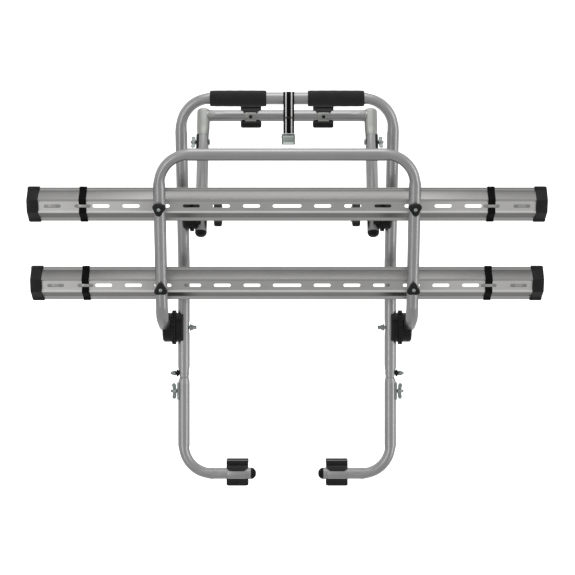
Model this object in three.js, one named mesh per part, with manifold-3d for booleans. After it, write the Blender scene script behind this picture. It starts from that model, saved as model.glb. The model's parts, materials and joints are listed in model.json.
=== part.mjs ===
// Rear-door bicycle carrier for two bicycles, folded for storage. Millimetres.
// +X to the right seen from behind the vehicle, +Y towards the vehicle, +Z up.
// The design frame has its zero height between the two wheel rails and its zero depth on the
// lower legs. One outer group moves it so that the origin lies between the upper hook seats.

import * as THREE from 'three';
import { mergeVertices } from 'three/addons/utils/BufferGeometryUtils.js';
import Module from 'manifold-3d';

const wasm = await Module();
wasm.setup();

// ---------------------------------------------------------------- driving dimensions
const GAP = 0.3;                 // clearance between touching pieces
const TUBE = 15;                 // outer radius of the frame tubes
const BORE = 13.6;               // inner radius of the frame tubes
const NECK = 12.4;               // radius of the swaged necks that telescope in the bores
const SIDES = 14;                // facets round a tube
const BORE_SIDES = 10;           // facets round its bore
const SMALL_SIDES = 8;           // facets round bolts, nuts and their holes

const FRAME_X = 264.3;           // half spacing of the main frame's legs
const FRAME_TOP = 469;           // height of the top bar's axis
const KNEE = 60;                 // height of the bend in the legs
const FRAME_LEAN = THREE.MathUtils.degToRad(15.8);  // lean of the upper legs, away from the vehicle
const FRAME_CORNER = 75;
const KNEE_RADIUS = 120;
const FOOT = -229;               // lower end of the legs

const TILT_Z = 186;              // height of the hook frame's hinge
const INNER_X = 217.6;           // half spacing of the hook frame's legs
const HOOK_LEAN = THREE.MathUtils.degToRad(20);     // lean of the hook frame, towards the vehicle
const INNER_TOP = 218;           // hook frame, measured along its legs from the hinge
const INNER_FOOT = -48;
const SLIDER_BOLT = 202;
const CROSSBAR = 278;
const SLIDER_TOP = 297;
const SLIDER_NECK_END = 60;
const SLIDER_TRAVEL = 80;
const CROSSBAR_RADIUS = 14.6;
const UPPER_HOOK_X = 94.5;
const UPPER_HOOK_RISE = THREE.MathUtils.degToRad(15);  // slope of the upper hooks' mouths
const SEAT_FROM_TUBE = 36;       // from a hook's tube to the middle of its mouth

const FOLD_Z = -102;             // height of the platform's hinge
const FOLD_FACE = 288.85;        // where the two halves of that hinge meet
const FOLD_OUTSIDE = 317.3;      // its outer side
const PLATFORM_X = 311.5;        // half spacing of the platform bracket's legs
const PLATFORM_LEAN = THREE.MathUtils.degToRad(14.7);
const PLATFORM_TOP = 321.8;
const PLATFORM_CORNER = 74;
const END_SLOPE = THREE.MathUtils.degToRad(15);     // slope of the bracket's ends at the hinge
const END_TO_HINGE = 26;         // from a bracket tube's end to its hinge bolt
const END_BEND = 45;
const TONGUE = 8;                // thickness of the pressed ends that the hinge bolts hold
const TONGUE_HEIGHT = 30;
const TONGUE_PAST_HINGE = 18;
const RAIL_Y = -168.3;            // bracket axis at the upper rail
const RAIL_Z = 195.3;
const RAIL_SPACING = 201.4;      // measured along the bracket

const RAIL_HALF = 612;           // half length of a rail without its caps
const CAP = 28;
const RAIL_HALF_HEIGHT = 42;
const WEB_HALF = 11.5;
const RIDGE_HALF = 15.5;         // the ridges beside the web, which rest on the bracket
const RIDGE_Y = TUBE + GAP + 1.7;
const WEB_Y = RIDGE_Y + 3.4;     // centre of the web behind the bracket's axis
const RAIL_WALL = 2;
const SLOT_HEIGHT = 10;
const SLOT = 42;
const CENTRE_SLOT = 71;
const FIRST_SLOT = 87.5;
const SLOT_PITCH = 74;
const SLOTS = 6;
const STRAP_X = 502.5;
const STRAP_SLOT = 40;
const END_SLOT_X = 577;

const ARM_Z = -476;              // height of the lower arms' hook ends
const ARM_RADIUS = 14.85;
const ARM_BORE = 13.4;
const ARM_CORNER = 73;
const ARM_END = 93;
const ARM_NECK_TOP = -112;
const ARM_TRAVEL = 60;
const SHOULDER = 20;
const LOWER_HOOK_X = 128;
const LEG_BOLT_Z = -219;
const ARM_BOLT_Z = -265;

const HOOK_WIDTH = 56;
const DISC = 37.5;               // radius of the hinge bodies
const TEETH_RADIUS = 44;
const HINGE_BOLT = 5;
const HINGE_HOLE = 5.7;
const KNOB_X = 164.6;            // inner face of the hinge knobs
const CLAMP_BOLT = 4;
const CLAMP_HOLE = 4.6;
const NUT_SEAT = 18.2;           // from a tube's axis to its wing nut, over the saddle
const LEG_NUT_X = 284;

const FOAM_FROM = 51.5;
const FOAM_TO = 191;
const FOAM_RADIUS = 20;
const WEBBING_WIDTH = 28;
const STRAP_DROP = 87;           // webbing loop, measured down from the top bar's axis

const frameY = (z) => -Math.max(0, z - KNEE) * Math.tan(FRAME_LEAN);
const TILT_Y = frameY(TILT_Z);

// ---------------------------------------------------------------- materials
const finish = (color, roughness, metalness) => () =>
  new THREE.MeshStandardMaterial({ color, roughness, metalness });
const tubeMetal = finish(0x9b9a99, 0.38, 0.9);
const railMetal = finish(0xb4b1ae, 0.34, 0.9);
const zinc = finish(0x9aa19e, 0.4, 0.9);
const plastic = finish(0x2b2a2c, 0.55, 0);
const rubber = finish(0x323133, 0.8, 0);
const foam = finish(0x2c2c2d, 0.95, 0);
const webbing = finish(0x141315, 0.85, 0);

// ---------------------------------------------------------------- tools
const { Manifold, Mesh: SolidMesh } = wasm;
const v3 = (x, y, z) => new THREE.Vector3(x, y, z);
const v2 = (x, y) => new THREE.Vector2(x, y);

function solid(geometry) {
  const bare = geometry.clone();
  bare.deleteAttribute('normal');
  bare.deleteAttribute('uv');
  const merged = mergeVertices(bare, 1e-3);
  return new Manifold(new SolidMesh({
    numProp: 3,
    vertProperties: new Float32Array(merged.attributes.position.array),
    triVerts: new Uint32Array(merged.index.array),
  }));
}

function geometryOf(body) {
  const mesh = body.getMesh();
  const geometry = new THREE.BufferGeometry();
  geometry.setAttribute('position', new THREE.BufferAttribute(mesh.vertProperties, 3));
  geometry.setIndex(new THREE.BufferAttribute(mesh.triVerts, 1));
  geometry.computeVertexNormals();
  return geometry;
}

function built(added, removed = []) {
  let body = solid(added[0]);
  for (const more of added.slice(1)) body = body.add(solid(more));
  for (const less of removed) body = body.subtract(solid(less));
  return geometryOf(body);
}

// The same piece for the other side of the carrier.
function mirrored(geometry) {
  const copy = mergeVertices(geometry.clone().deleteAttribute('normal').scale(-1, 1, 1), 1e-3);
  const index = copy.index.array;
  for (let i = 0; i < index.length; i += 3) {
    [index[i], index[i + 1]] = [index[i + 1], index[i]];
  }
  copy.computeVertexNormals();
  return copy;
}

const circle = (radius, sides = SIDES) => Array.from({ length: sides }, (_, i) => {
  const angle = 2 * Math.PI * (i + 0.5) / sides;
  return v2(radius * Math.cos(angle), radius * Math.sin(angle));
});

function ring(outer, inner, innerSides = BORE_SIDES) {
  const shape = new THREE.Shape(circle(outer));
  shape.holes.push(new THREE.Path(circle(inner, innerSides)));
  return shape;
}

const prism = (shape, length) =>
  new THREE.ExtrudeGeometry(shape, { depth: length, bevelEnabled: false, curveSegments: 6 });

// A section drawn in the Y-Z plane and drawn out along X from one x to another.
function alongX(shape, from, to) {
  const turn = new THREE.Matrix4().makeBasis(v3(0, 1, 0), v3(0, 0, 1), v3(1, 0, 0));
  return prism(shape, to - from).applyMatrix4(turn).translate(from, 0, 0);
}

// A section drawn in the Z-X plane and drawn out along Y.
function alongY(shape, from, to) {
  const turn = new THREE.Matrix4().makeBasis(v3(0, 0, 1), v3(1, 0, 0), v3(0, 1, 0));
  return prism(shape, to - from).applyMatrix4(turn).translate(0, from, 0);
}

const alongZ = (shape, from, to) => prism(shape, to - from).translate(0, 0, from);

// A turned piece: [distance along the axis, radius] pairs, closed on the axis at both ends.
function turned(steps, sides = SMALL_SIDES) {
  const profile = [v2(0, steps[0][0])];
  for (const [at, radius] of steps) profile.push(v2(radius, at));
  profile.push(v2(0, steps.at(-1)[0]));
  return new THREE.LatheGeometry(profile, sides);
}

const turnedAlongX = (steps, sides) => turned(steps, sides).rotateZ(-Math.PI / 2);
const turnedAlongY = (steps, sides) => turned(steps, sides);
const turnedAlongZ = (steps, sides) => turned(steps, sides).rotateX(Math.PI / 2);

// A path of straight runs joined by arcs, with one step for each straight run.
class BentPath extends THREE.Curve {
  constructor(corners, radii, stepDegrees = 22.5) {
    super();
    this.points = [corners[0]];
    this.tangents = [corners[1].clone().sub(corners[0]).normalize()];
    for (let i = 1; i < corners.length - 1; i += 1) {
      this.addBend(corners[i - 1], corners[i], corners[i + 1], radii[i - 1], stepDegrees);
    }
    this.points.push(corners.at(-1));
    this.tangents.push(corners.at(-1).clone().sub(corners.at(-2)).normalize());
    this.steps = this.points.length - 1;
  }

  addBend(before, corner, after, radius, stepDegrees) {
    const arriving = corner.clone().sub(before).normalize();
    const leaving = after.clone().sub(corner).normalize();
    const angle = arriving.angleTo(leaving);
    const inwards = leaving.clone().addScaledVector(arriving, -leaving.dot(arriving)).normalize();
    const start = corner.clone().addScaledVector(arriving, -radius * Math.tan(angle / 2));
    const centre = start.clone().addScaledVector(inwards, radius);
    const count = Math.ceil(THREE.MathUtils.radToDeg(angle) / stepDegrees);
    for (let k = 0; k <= count; k += 1) {
      const turn = angle * k / count;
      this.points.push(centre.clone()
        .addScaledVector(arriving, radius * Math.sin(turn))
        .addScaledVector(inwards, -radius * Math.cos(turn)));
      this.tangents.push(arriving.clone().multiplyScalar(Math.cos(turn))
        .addScaledVector(inwards, Math.sin(turn)));
    }
  }

  getSpacedPoints() {
    return this.points;
  }

  getPointAt(share, target = v3(0, 0, 0)) {
    return target.copy(this.points[Math.round(share * this.steps)]);
  }

  getTangentAt(share, target = v3(0, 0, 0)) {
    return target.copy(this.tangents[Math.round(share * this.steps)]);
  }
}

const swept = (shape, path) =>
  new THREE.ExtrudeGeometry(shape, { steps: path.steps, extrudePath: path, bevelEnabled: false });

// The outline of a strip of even thickness along an open line, with mitred corners.
function strip(line, thickness) {
  const normals = line.slice(1).map((point, i) => {
    const along = point.clone().sub(line[i]).normalize();
    return v2(-along.y, along.x);
  });
  const offset = (side) => line.map((point, i) => {
    const first = normals[Math.max(0, i - 1)];
    const second = normals[Math.min(normals.length - 1, i)];
    const mitre = first.clone().add(second).normalize();
    return point.clone().addScaledVector(mitre, side * thickness / 2 / mitre.dot(first));
  });
  return new THREE.Shape([...offset(1), ...offset(-1).reverse()]);
}

function arc(radius, fromDegrees, toDegrees, count) {
  return Array.from({ length: count + 1 }, (_, i) => {
    const angle = THREE.MathUtils.degToRad(fromDegrees + (toDegrees - fromDegrees) * i / count);
    return v2(radius * Math.cos(angle), radius * Math.sin(angle));
  });
}

function rectangle(width, height) {
  const [w, h] = [width / 2, height / 2];
  return new THREE.Shape([v2(-w, -h), v2(w, -h), v2(w, h), v2(-w, h)]);
}

// A round knob's outline with soft lobes.
function lobed(radius, depth, lobes, points) {
  return new THREE.Shape(Array.from({ length: points }, (_, i) => {
    const angle = 2 * Math.PI * i / points;
    const reach = radius - depth * (0.5 - 0.5 * Math.cos(lobes * angle));
    return v2(reach * Math.cos(angle), reach * Math.sin(angle));
  }));
}

// ---------------------------------------------------------------- scene graph
const carrier = new THREE.Group();
carrier.position.set(
  0,
  -(TILT_Y + CROSSBAR * Math.sin(HOOK_LEAN) + SEAT_FROM_TUBE * Math.cos(UPPER_HOOK_RISE)),
  -(TILT_Z + CROSSBAR * Math.cos(HOOK_LEAN) + SEAT_FROM_TUBE * Math.sin(UPPER_HOOK_RISE)),
);

const hookFrame = new THREE.Group();
hookFrame.position.set(0, TILT_Y, TILT_Z);
hookFrame.rotation.x = -HOOK_LEAN;
carrier.add(hookFrame);

const platform = new THREE.Group();
platform.position.set(0, RAIL_Y, RAIL_Z);
platform.rotation.x = PLATFORM_LEAN;
carrier.add(platform);

function piece(parent, name, geometry, material, [x, y, z] = [0, 0, 0]) {
  const mesh = new THREE.Mesh(geometry, material());
  mesh.name = name;
  mesh.position.set(x, y, z);
  parent.add(mesh);
}

// A right-hand piece at its place and its mirror image on the left.
function pair(parent, name, geometry, material, [x, y, z] = [0, 0, 0]) {
  piece(parent, `right_${name}`, geometry, material, [x, y, z]);
  piece(parent, `left_${name}`, mirrored(geometry), material, [-x, y, z]);
}

// ---------------------------------------------------------------- shared small parts
const holeAlongX = (radius, length, x, y, z) =>
  alongX(new THREE.Shape(circle(radius, SMALL_SIDES)), -length / 2, length / 2).translate(x, y, z);
const holeAlongY = (radius, length, x, y, z) =>
  alongY(new THREE.Shape(circle(radius, SMALL_SIDES)), -length / 2, length / 2).translate(x, y, z);

// The groove in a hinge half for a tube that runs along Z leaned by an angle.
const hingeGroove = (depth, lean, from = -60) =>
  alongZ(new THREE.Shape(circle(TUBE + 3 * GAP, SIDES)), from, 60)
    .rotateX(lean).translate(depth, 0, 0);

// One half of a ratchet hinge, with its toothed face at x = 0.
function hingeHalf(outside, openings) {
  const teeth = 16;
  const rim = new THREE.Shape(Array.from({ length: 2 * teeth }, (_, i) => {
    const angle = Math.PI * i / teeth;
    const reach = TEETH_RADIUS - 4 * (i % 2);
    return v2(reach * Math.cos(angle), reach * Math.sin(angle));
  }));
  return built(
    [
      turnedAlongX([[GAP / 2, DISC], [outside - 4, DISC], [outside - GAP, DISC - 4]], 16),
      alongX(rim, GAP / 2, 5),
    ],
    [...openings, holeAlongX(HINGE_HOLE, 80, 0, 0, 0)],
  );
}

// The pressed end of a bracket tube, or with a clearance the slot that it lies in.
function hingeTongue(x, clearance) {
  const height = TONGUE_HEIGHT + 2 * clearance;
  const blade = rectangle(TONGUE + 2 * clearance, height);
  return alongZ(blade, -TONGUE_PAST_HINGE - clearance, END_TO_HINGE + 8)
    .rotateX(Math.PI / 2 - END_SLOPE).translate(x, 0, 0);
}

// A wing nut on a bolt along X, seated at x = 0.
function wingNut() {
  const wing = new THREE.Shape([
    v2(1, 3), v2(2, 17), v2(4.5, 21.5), v2(10, 21.5), v2(12, 17), v2(9.4, 3),
  ]);
  const wings = [alongZ(wing, -1.6, 1.6), alongZ(wing, -1.6, 1.6).rotateX(Math.PI)];
  return built(
    [turnedAlongX([[0, 7.5], [4, 7], [10, 5.8]]), ...wings],
    [holeAlongX(CLAMP_HOLE, 40, 0, 0, 0)],
  );
}

// A curved plate that backs a clamp nut, against a tube of the given radius at x = 0.
const saddle = (radius, height) =>
  alongZ(strip(arc(radius + GAP + 1.2, -42, 42, 5), 2.2), -height / 2, height / 2);

// ---------------------------------------------------------------- main frame
function mainFrame() {
  const topY = frameY(FRAME_TOP);
  const half = [v3(FRAME_X, 0, FOOT), v3(FRAME_X, 0, KNEE), v3(FRAME_X, topY, FRAME_TOP)];
  const other = half.map((p) => v3(-p.x, p.y, p.z)).reverse();
  const path = new BentPath(
    [...half, ...other],
    [KNEE_RADIUS, FRAME_CORNER, FRAME_CORNER, KNEE_RADIUS],
  );
  const holes = [];
  for (const x of [-FRAME_X, FRAME_X]) {
    holes.push(holeAlongX(HINGE_HOLE, 60, x, TILT_Y, TILT_Z));
    holes.push(holeAlongX(HINGE_HOLE, 60, x, 0, FOLD_Z));
    holes.push(holeAlongX(CLAMP_HOLE, 60, x, 0, LEG_BOLT_Z));
  }
  piece(carrier, 'main_frame', built([swept(ring(TUBE, BORE), path)], holes), tubeMetal);

  pair(carrier, 'foam_grip', alongX(ring(FOAM_RADIUS, TUBE + 0.9, SIDES), 0, FOAM_TO - FOAM_FROM), foam,
    [FOAM_FROM, topY, FRAME_TOP]);

  const bolt = turnedAlongX([
    [247.2, 6], [248.2, 7.5], [FRAME_X - TUBE - GAP, 7.5], [FRAME_X - TUBE - GAP, CLAMP_BOLT],
    [FRAME_X + TUBE + GAP, CLAMP_BOLT], [FRAME_X + TUBE + GAP, 10], [LEG_NUT_X - 0.4, 10],
    [LEG_NUT_X - 0.4, CLAMP_BOLT], [LEG_NUT_X + 15, CLAMP_BOLT],
  ]);
  pair(carrier, 'leg_bolt', bolt, zinc, [0, 0, LEG_BOLT_Z]);
  pair(carrier, 'leg_wing_nut', wingNut(), zinc, [LEG_NUT_X, 0, LEG_BOLT_Z]);
}

function securityStrap() {
  const topY = frameY(FRAME_TOP);
  const loop = new THREE.Shape([
    ...arc(TUBE + 2.2, 0, 180, 12), v2(-1.9, -72), v2(-1.9, -STRAP_DROP),
    v2(1.9, -STRAP_DROP), v2(1.9, -72),
  ]);
  loop.holes.push(new THREE.Path([...arc(TUBE + 0.6, 0, 180, 12), v2(0, -70)]));
  piece(carrier, 'security_strap', alongX(loop, -WEBBING_WIDTH / 2, WEBBING_WIDTH / 2), webbing,
    [0, topY, FRAME_TOP]);

  const top = FRAME_TOP - STRAP_DROP - GAP;
  const height = 27;
  const pinDrop = 8;
  const cheek = rectangle(12, height);
  const body = built([
    alongX(rectangle(2, height), -16.5, 16.5).translate(0, 4, 0),
    alongX(cheek, 14.7, 16.7).translate(0, -1, 0),
    alongX(cheek, -16.7, -14.7).translate(0, -1, 0),
    alongX(new THREE.Shape(circle(1.6, 8)), -15.5, 15.5).translate(0, -2, height / 2 - pinDrop),
  ]);
  piece(carrier, 'cam_buckle', body, zinc, [0, topY, top - height / 2]);

  const lever = new THREE.Shape([
    v2(-3.2, 3.2), v2(3.2, 3.2), v2(3.2, -3), v2(-5.5, -20), v2(-8.5, -19), v2(-3.6, -3),
  ]);
  lever.holes.push(new THREE.Path(circle(2.1, 8)));
  piece(carrier, 'cam_lever', alongX(lever, -14.2, 14.2), zinc, [0, topY - 2, top - pinDrop]);
}

// ---------------------------------------------------------------- hinges
function hinges() {
  const half = (FRAME_X - INNER_X) / 2;
  const face = INNER_X + half;
  pair(carrier, 'upper_hinge_outer', hingeHalf(half, [hingeGroove(half, FRAME_LEAN)]), plastic,
    [face, TILT_Y, TILT_Z]);
  const inner = mirrored(hingeHalf(half, [hingeGroove(half, 0)]));
  pair(hookFrame, 'upper_hinge_inner', inner, plastic, [face, 0, 0]);

  const bolt = turnedAlongX([
    [172, HINGE_BOLT], [279.7, HINGE_BOLT], [279.7, 10], [283, 9], [284.5, 5],
  ]);
  pair(carrier, 'upper_hinge_bolt', bolt, zinc, [0, TILT_Y, TILT_Z]);

  const grip = alongX(lobed(32, 3.5, 7, 28), 0, 21.4);
  const hub = turnedAlongX([[10, 14], [26, 12], [INNER_X - TUBE - GAP - KNOB_X, 10]]);
  const knob = built([grip, hub], [holeAlongX(HINGE_HOLE, 60, 37, 0, 0)]);
  pair(carrier, 'hinge_knob', knob, plastic, [KNOB_X, TILT_Y, TILT_Z]);

  const legDepth = FOLD_FACE - FRAME_X;
  const foldInner = mirrored(hingeHalf(legDepth, [hingeGroove(legDepth, 0)]));
  pair(carrier, 'lower_hinge_inner', foldInner, plastic, [FOLD_FACE, 0, FOLD_Z]);
  const endDepth = PLATFORM_X - FOLD_FACE;
  const foldOuter = hingeHalf(FOLD_OUTSIDE - FOLD_FACE, [
    hingeGroove(endDepth, Math.PI / 2 - END_SLOPE, END_TO_HINGE - 1),
    hingeTongue(endDepth, 3 * GAP),
  ]);
  pair(carrier, 'lower_hinge_outer', foldOuter, plastic, [FOLD_FACE, 0, FOLD_Z]);
  const headSeat = FOLD_OUTSIDE + GAP;
  const foldBolt = turnedAlongX([
    [232, HINGE_BOLT], [241, HINGE_BOLT], [241, 9.5], [FRAME_X - TUBE - GAP, 9.5],
    [FRAME_X - TUBE - GAP, HINGE_BOLT], [headSeat, HINGE_BOLT], [headSeat, 10],
    [headSeat + 3.1, 9], [headSeat + 4.6, 5],
  ]);
  pair(carrier, 'lower_hinge_bolt', foldBolt, zinc, [0, 0, FOLD_Z]);
}

// ---------------------------------------------------------------- hook frame
function hookFrameParts() {
  const plug = turnedAlongZ([[-61, 6], [-59, 10.5], [-55, 14], [-50, TUBE], [-46, TUBE]], SIDES)
    .rotateZ(Math.PI / SIDES);
  const leg = built(
    [alongZ(ring(TUBE, BORE), INNER_FOOT, INNER_TOP), plug],
    [holeAlongX(HINGE_HOLE, 60, 0, 0, 0), holeAlongX(CLAMP_HOLE, 60, 0, 0, SLIDER_BOLT)],
  );
  pair(hookFrame, 'inner_leg', leg, tubeMetal, [INNER_X, 0, 0]);

  const legs = [];
  const slots = [];
  for (const x of [-INNER_X, INNER_X]) {
    legs.push(alongZ(new THREE.Shape(circle(TUBE)), INNER_TOP + GAP, SLIDER_TOP).translate(x, 0, 0));
    legs.push(alongZ(new THREE.Shape(circle(NECK)), SLIDER_NECK_END, INNER_TOP + 2)
      .translate(x, 0, 0));
    const length = SLIDER_TRAVEL + 2 * CLAMP_HOLE;
    slots.push(alongX(rectangle(2 * CLAMP_HOLE, length), -30, 30)
      .translate(x, 0, SLIDER_BOLT + CLAMP_HOLE - length / 2));
  }
  const bar = alongX(ring(CROSSBAR_RADIUS, CROSSBAR_RADIUS - 1.8), -INNER_X, INNER_X)
    .translate(0, 0, CROSSBAR);
  const hookTurn = HOOK_LEAN + UPPER_HOOK_RISE;
  const boltHoles = [-UPPER_HOOK_X, UPPER_HOOK_X].map((x) =>
    holeAlongY(CLAMP_HOLE, 60, 0, 0, 0).rotateX(hookTurn).translate(x, 0, CROSSBAR));
  piece(hookFrame, 'hook_crossbar', built([bar, ...legs], [...slots, ...boltHoles]), tubeMetal);

  const bolt = built([
    turnedAlongX([
      [-19, 6], [-18, 8], [-TUBE - GAP, 8], [-TUBE - GAP, CLAMP_BOLT], [32, CLAMP_BOLT],
    ]),
    saddle(TUBE, 40),
  ]);
  pair(hookFrame, 'slider_bolt', bolt, zinc, [INNER_X, 0, SLIDER_BOLT]);
  pair(hookFrame, 'slider_wing_nut', wingNut(), zinc, [INNER_X + NUT_SEAT, 0, SLIDER_BOLT]);

  const seat = [UPPER_HOOK_X, 0, CROSSBAR];
  const hexHead = [[-22, 6], [-21, 7]];
  pair(hookFrame, 'upper_hook', hookBracket(hexHead).rotateX(hookTurn), zinc, seat);
  pair(hookFrame, 'upper_hook_rubber', hookRubber().rotateX(hookTurn), rubber, seat);
}

// A C-shaped steel bracket behind a tube along X, held by a bolt and a curved front plate.
function hookBracket(boltHead) {
  const channel = strip([v2(46, 28.5), v2(17.2, 28.5), v2(17.2, -28.5), v2(46, -28.5)], 3);
  const front = strip(arc(TUBE + GAP + 1.2, 144, 226, 6), 2.2);
  return built([
    alongX(channel, -HOOK_WIDTH / 2 + 3, HOOK_WIDTH / 2 - 3),
    alongX(front, -17, 17),
    turnedAlongY([...boltHead, [-16, 7], [-16, CLAMP_BOLT], [17, CLAMP_BOLT]], 6),
  ]);
}

// The rubber liner sheathes both lips of the bracket and its inside, and wraps the tube's front.
function hookRubber() {
  const liner = new THREE.Shape([
    v2(12.4, 13), v2(12.4, 32), v2(14.4, 34), v2(48, 34), v2(50, 32), v2(50, 24), v2(48, 22),
    v2(23, 22), v2(23, -22), v2(48, -22), v2(50, -24), v2(50, -32), v2(48, -34), v2(14.4, -34),
    v2(12.4, -32), v2(12.4, -13), v2(15.4, -13), v2(15.4, -30.3), v2(46.3, -30.3),
    v2(46.3, -26.7), v2(19, -26.7), v2(19, 26.7), v2(46.3, 26.7), v2(46.3, 30.3),
    v2(15.4, 30.3), v2(15.4, 13),
  ]);
  const above = strip(arc(TUBE + 2.1, 42, 140, 6), 3.4);
  const below = strip(arc(TUBE + 2.1, -42, -130, 6), 3.4);
  return built([
    alongX(liner, -HOOK_WIDTH / 2, HOOK_WIDTH / 2),
    alongX(above, 7 - HOOK_WIDTH / 2, HOOK_WIDTH / 2 - 7),
    alongX(below, 4 - HOOK_WIDTH / 2, HOOK_WIDTH / 2 - 4),
  ]);
}

// ---------------------------------------------------------------- lower arms
function lowerArms() {
  const path = new BentPath(
    [v3(FRAME_X, 0, FOOT - SHOULDER), v3(FRAME_X, 0, ARM_Z), v3(ARM_END, 0, ARM_Z)],
    [ARM_CORNER],
  );
  const shoulder = turnedAlongZ([
    [FOOT - SHOULDER - 2, ARM_RADIUS - 1], [FOOT - SHOULDER, ARM_RADIUS],
    [FOOT - 6, 13.6], [FOOT - GAP, NECK], [ARM_NECK_TOP, NECK],
  ], SIDES).translate(FRAME_X, 0, 0);
  const plug = turnedAlongX([
    [79.5, 6], [81.5, 10.5], [85.5, 13.8], [90.5, ARM_RADIUS], [95, ARM_RADIUS - 1],
  ], SIDES).translate(0, 0, ARM_Z);
  const slotLength = ARM_TRAVEL + 2 * CLAMP_HOLE;
  const slot = alongX(rectangle(2 * CLAMP_HOLE, slotLength), -30, 30)
    .translate(FRAME_X, 0, LEG_BOLT_Z - CLAMP_HOLE + slotLength / 2);
  const arm = built(
    [swept(ring(ARM_RADIUS, ARM_BORE), path), shoulder, plug],
    [
      slot,
      holeAlongX(CLAMP_HOLE, 20, FRAME_X + 14, 0, ARM_BOLT_Z),
      holeAlongY(CLAMP_HOLE, 60, LOWER_HOOK_X, 0, ARM_Z),
    ],
  );
  pair(carrier, 'lower_arm', arm, tubeMetal);

  const stud = built([
    turnedAlongX([[5, 7], [8, 7], [8, CLAMP_BOLT], [34, CLAMP_BOLT]]),
    saddle(ARM_RADIUS, 44),
  ]);
  pair(carrier, 'arm_bolt', stud, zinc, [FRAME_X, 0, ARM_BOLT_Z]);
  pair(carrier, 'arm_wing_nut', wingNut(), zinc, [FRAME_X + NUT_SEAT, 0, ARM_BOLT_Z]);

  const flushHead = [[-17.9, 5]];
  pair(carrier, 'lower_hook', hookBracket(flushHead), zinc, [LOWER_HOOK_X, 0, ARM_Z]);
  pair(carrier, 'lower_hook_rubber', hookRubber(), rubber, [LOWER_HOOK_X, 0, ARM_Z]);
}

// ---------------------------------------------------------------- platform
function platformBracket() {
  const drop = Math.tan(PLATFORM_LEAN);
  const bracketY = (z) => RAIL_Y - (z - RAIL_Z) * drop;
  // Where the sloping end through the hinge meets the bracket's plane.
  const reach = -bracketY(FOLD_Z) / (Math.cos(END_SLOPE) - Math.sin(END_SLOPE) * drop);
  const onEnd = (along) =>
    v3(PLATFORM_X, -along * Math.cos(END_SLOPE), FOLD_Z + along * Math.sin(END_SLOPE));
  const half = [
    onEnd(END_TO_HINGE), onEnd(reach), v3(PLATFORM_X, bracketY(PLATFORM_TOP), PLATFORM_TOP),
  ];
  const other = half.map((p) => v3(-p.x, p.y, p.z)).reverse();
  const path = new BentPath(
    [...half, ...other],
    [END_BEND, PLATFORM_CORNER, PLATFORM_CORNER, END_BEND],
  );
  const holes = [];
  const tongues = [];
  for (const x of [-PLATFORM_X, PLATFORM_X]) {
    tongues.push(hingeTongue(x, 0).translate(0, 0, FOLD_Z));
    holes.push(holeAlongX(HINGE_HOLE, 60, x, 0, FOLD_Z));
    for (const along of [0, -RAIL_SPACING]) {
      holes.push(holeAlongY(CLAMP_HOLE, 60, 0, 0, 0).rotateX(PLATFORM_LEAN).translate(
        x,
        RAIL_Y - along * Math.sin(PLATFORM_LEAN),
        RAIL_Z + along * Math.cos(PLATFORM_LEAN),
      ));
    }
  }
  const bracket = built([swept(ring(TUBE, BORE), path), ...tongues], holes);
  piece(carrier, 'platform_bracket', bracket, tubeMetal);
}

function slotShape(length) {
  const [half, end] = [length / 2 - SLOT_HEIGHT / 2, SLOT_HEIGHT / 2];
  const cap = arc(end, -90, 90, 4);
  return new THREE.Shape([
    ...cap.map((p) => v2(p.y, p.x + half)).reverse(),
    ...cap.map((p) => v2(-p.y, -p.x - half)).reverse(),
  ]);
}

// The upper half's points and the lower half's in one open line.
const bothHalves = (half) => [...half, ...half.map((p) => v2(p.x, -p.y)).reverse()];

// An extruded wheel rail: recessed slotted web, two ridges, two sloping panels, two flanges.
function wheelRail() {
  const section = strip(bothHalves([
    v2(RIDGE_Y + 25.5, RAIL_HALF_HEIGHT), v2(RIDGE_Y + 23, 33), v2(RIDGE_Y, RIDGE_HALF),
    v2(WEB_Y, WEB_HALF),
  ]), RAIL_WALL);
  const cutter = (x, length) => alongY(slotShape(length), WEB_Y - 5, WEB_Y + 5).translate(x, 0, 0);
  const slots = [cutter(0, CENTRE_SLOT)];
  for (const side of [-1, 1]) {
    for (let i = 0; i < SLOTS; i += 1) {
      slots.push(cutter(side * (FIRST_SLOT + i * SLOT_PITCH), SLOT));
    }
    slots.push(cutter(side * STRAP_X, STRAP_SLOT));
    slots.push(cutter(side * END_SLOT_X, SLOT));
  }
  return built([alongX(section, -RAIL_HALF, RAIL_HALF)], slots);
}

function railCap() {
  const outline = new THREE.Shape(bothHalves([
    v2(RIDGE_Y + 30, 44), v2(RIDGE_Y + 23, 44), v2(RIDGE_Y + 21, 37), v2(RIDGE_Y - 2.5, 16),
  ]));
  const cap = new THREE.ExtrudeGeometry(outline, {
    depth: CAP - 3 - GAP, bevelSize: 3, bevelThickness: 3, bevelOffset: -3, bevelSegments: 1,
  });
  const turn = new THREE.Matrix4().makeBasis(v3(0, 1, 0), v3(0, 0, 1), v3(1, 0, 0));
  // The rounded end stays on the outside only.
  return built([cap.applyMatrix4(turn)], [alongX(rectangle(200, 200), -10, 0)]);
}

// The wheel strap wraps the rail and is tucked through its slot.
function wheelStrap() {
  const line = bothHalves([
    v2(RIDGE_Y + 30.5, 38), v2(RIDGE_Y + 29.5, 45), v2(RIDGE_Y + 22.6, 45),
    v2(RIDGE_Y + 20.7, 34.8), v2(RIDGE_Y - 3, 17), v2(RIDGE_Y - 3.3, 13.2),
    v2(WEB_Y - 2.6, 7.5), v2(WEB_Y - 2.6, 3.3), v2(WEB_Y + 6, 1.7),
  ]);
  return alongX(strip(line, 2), -9, 9);
}

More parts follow.
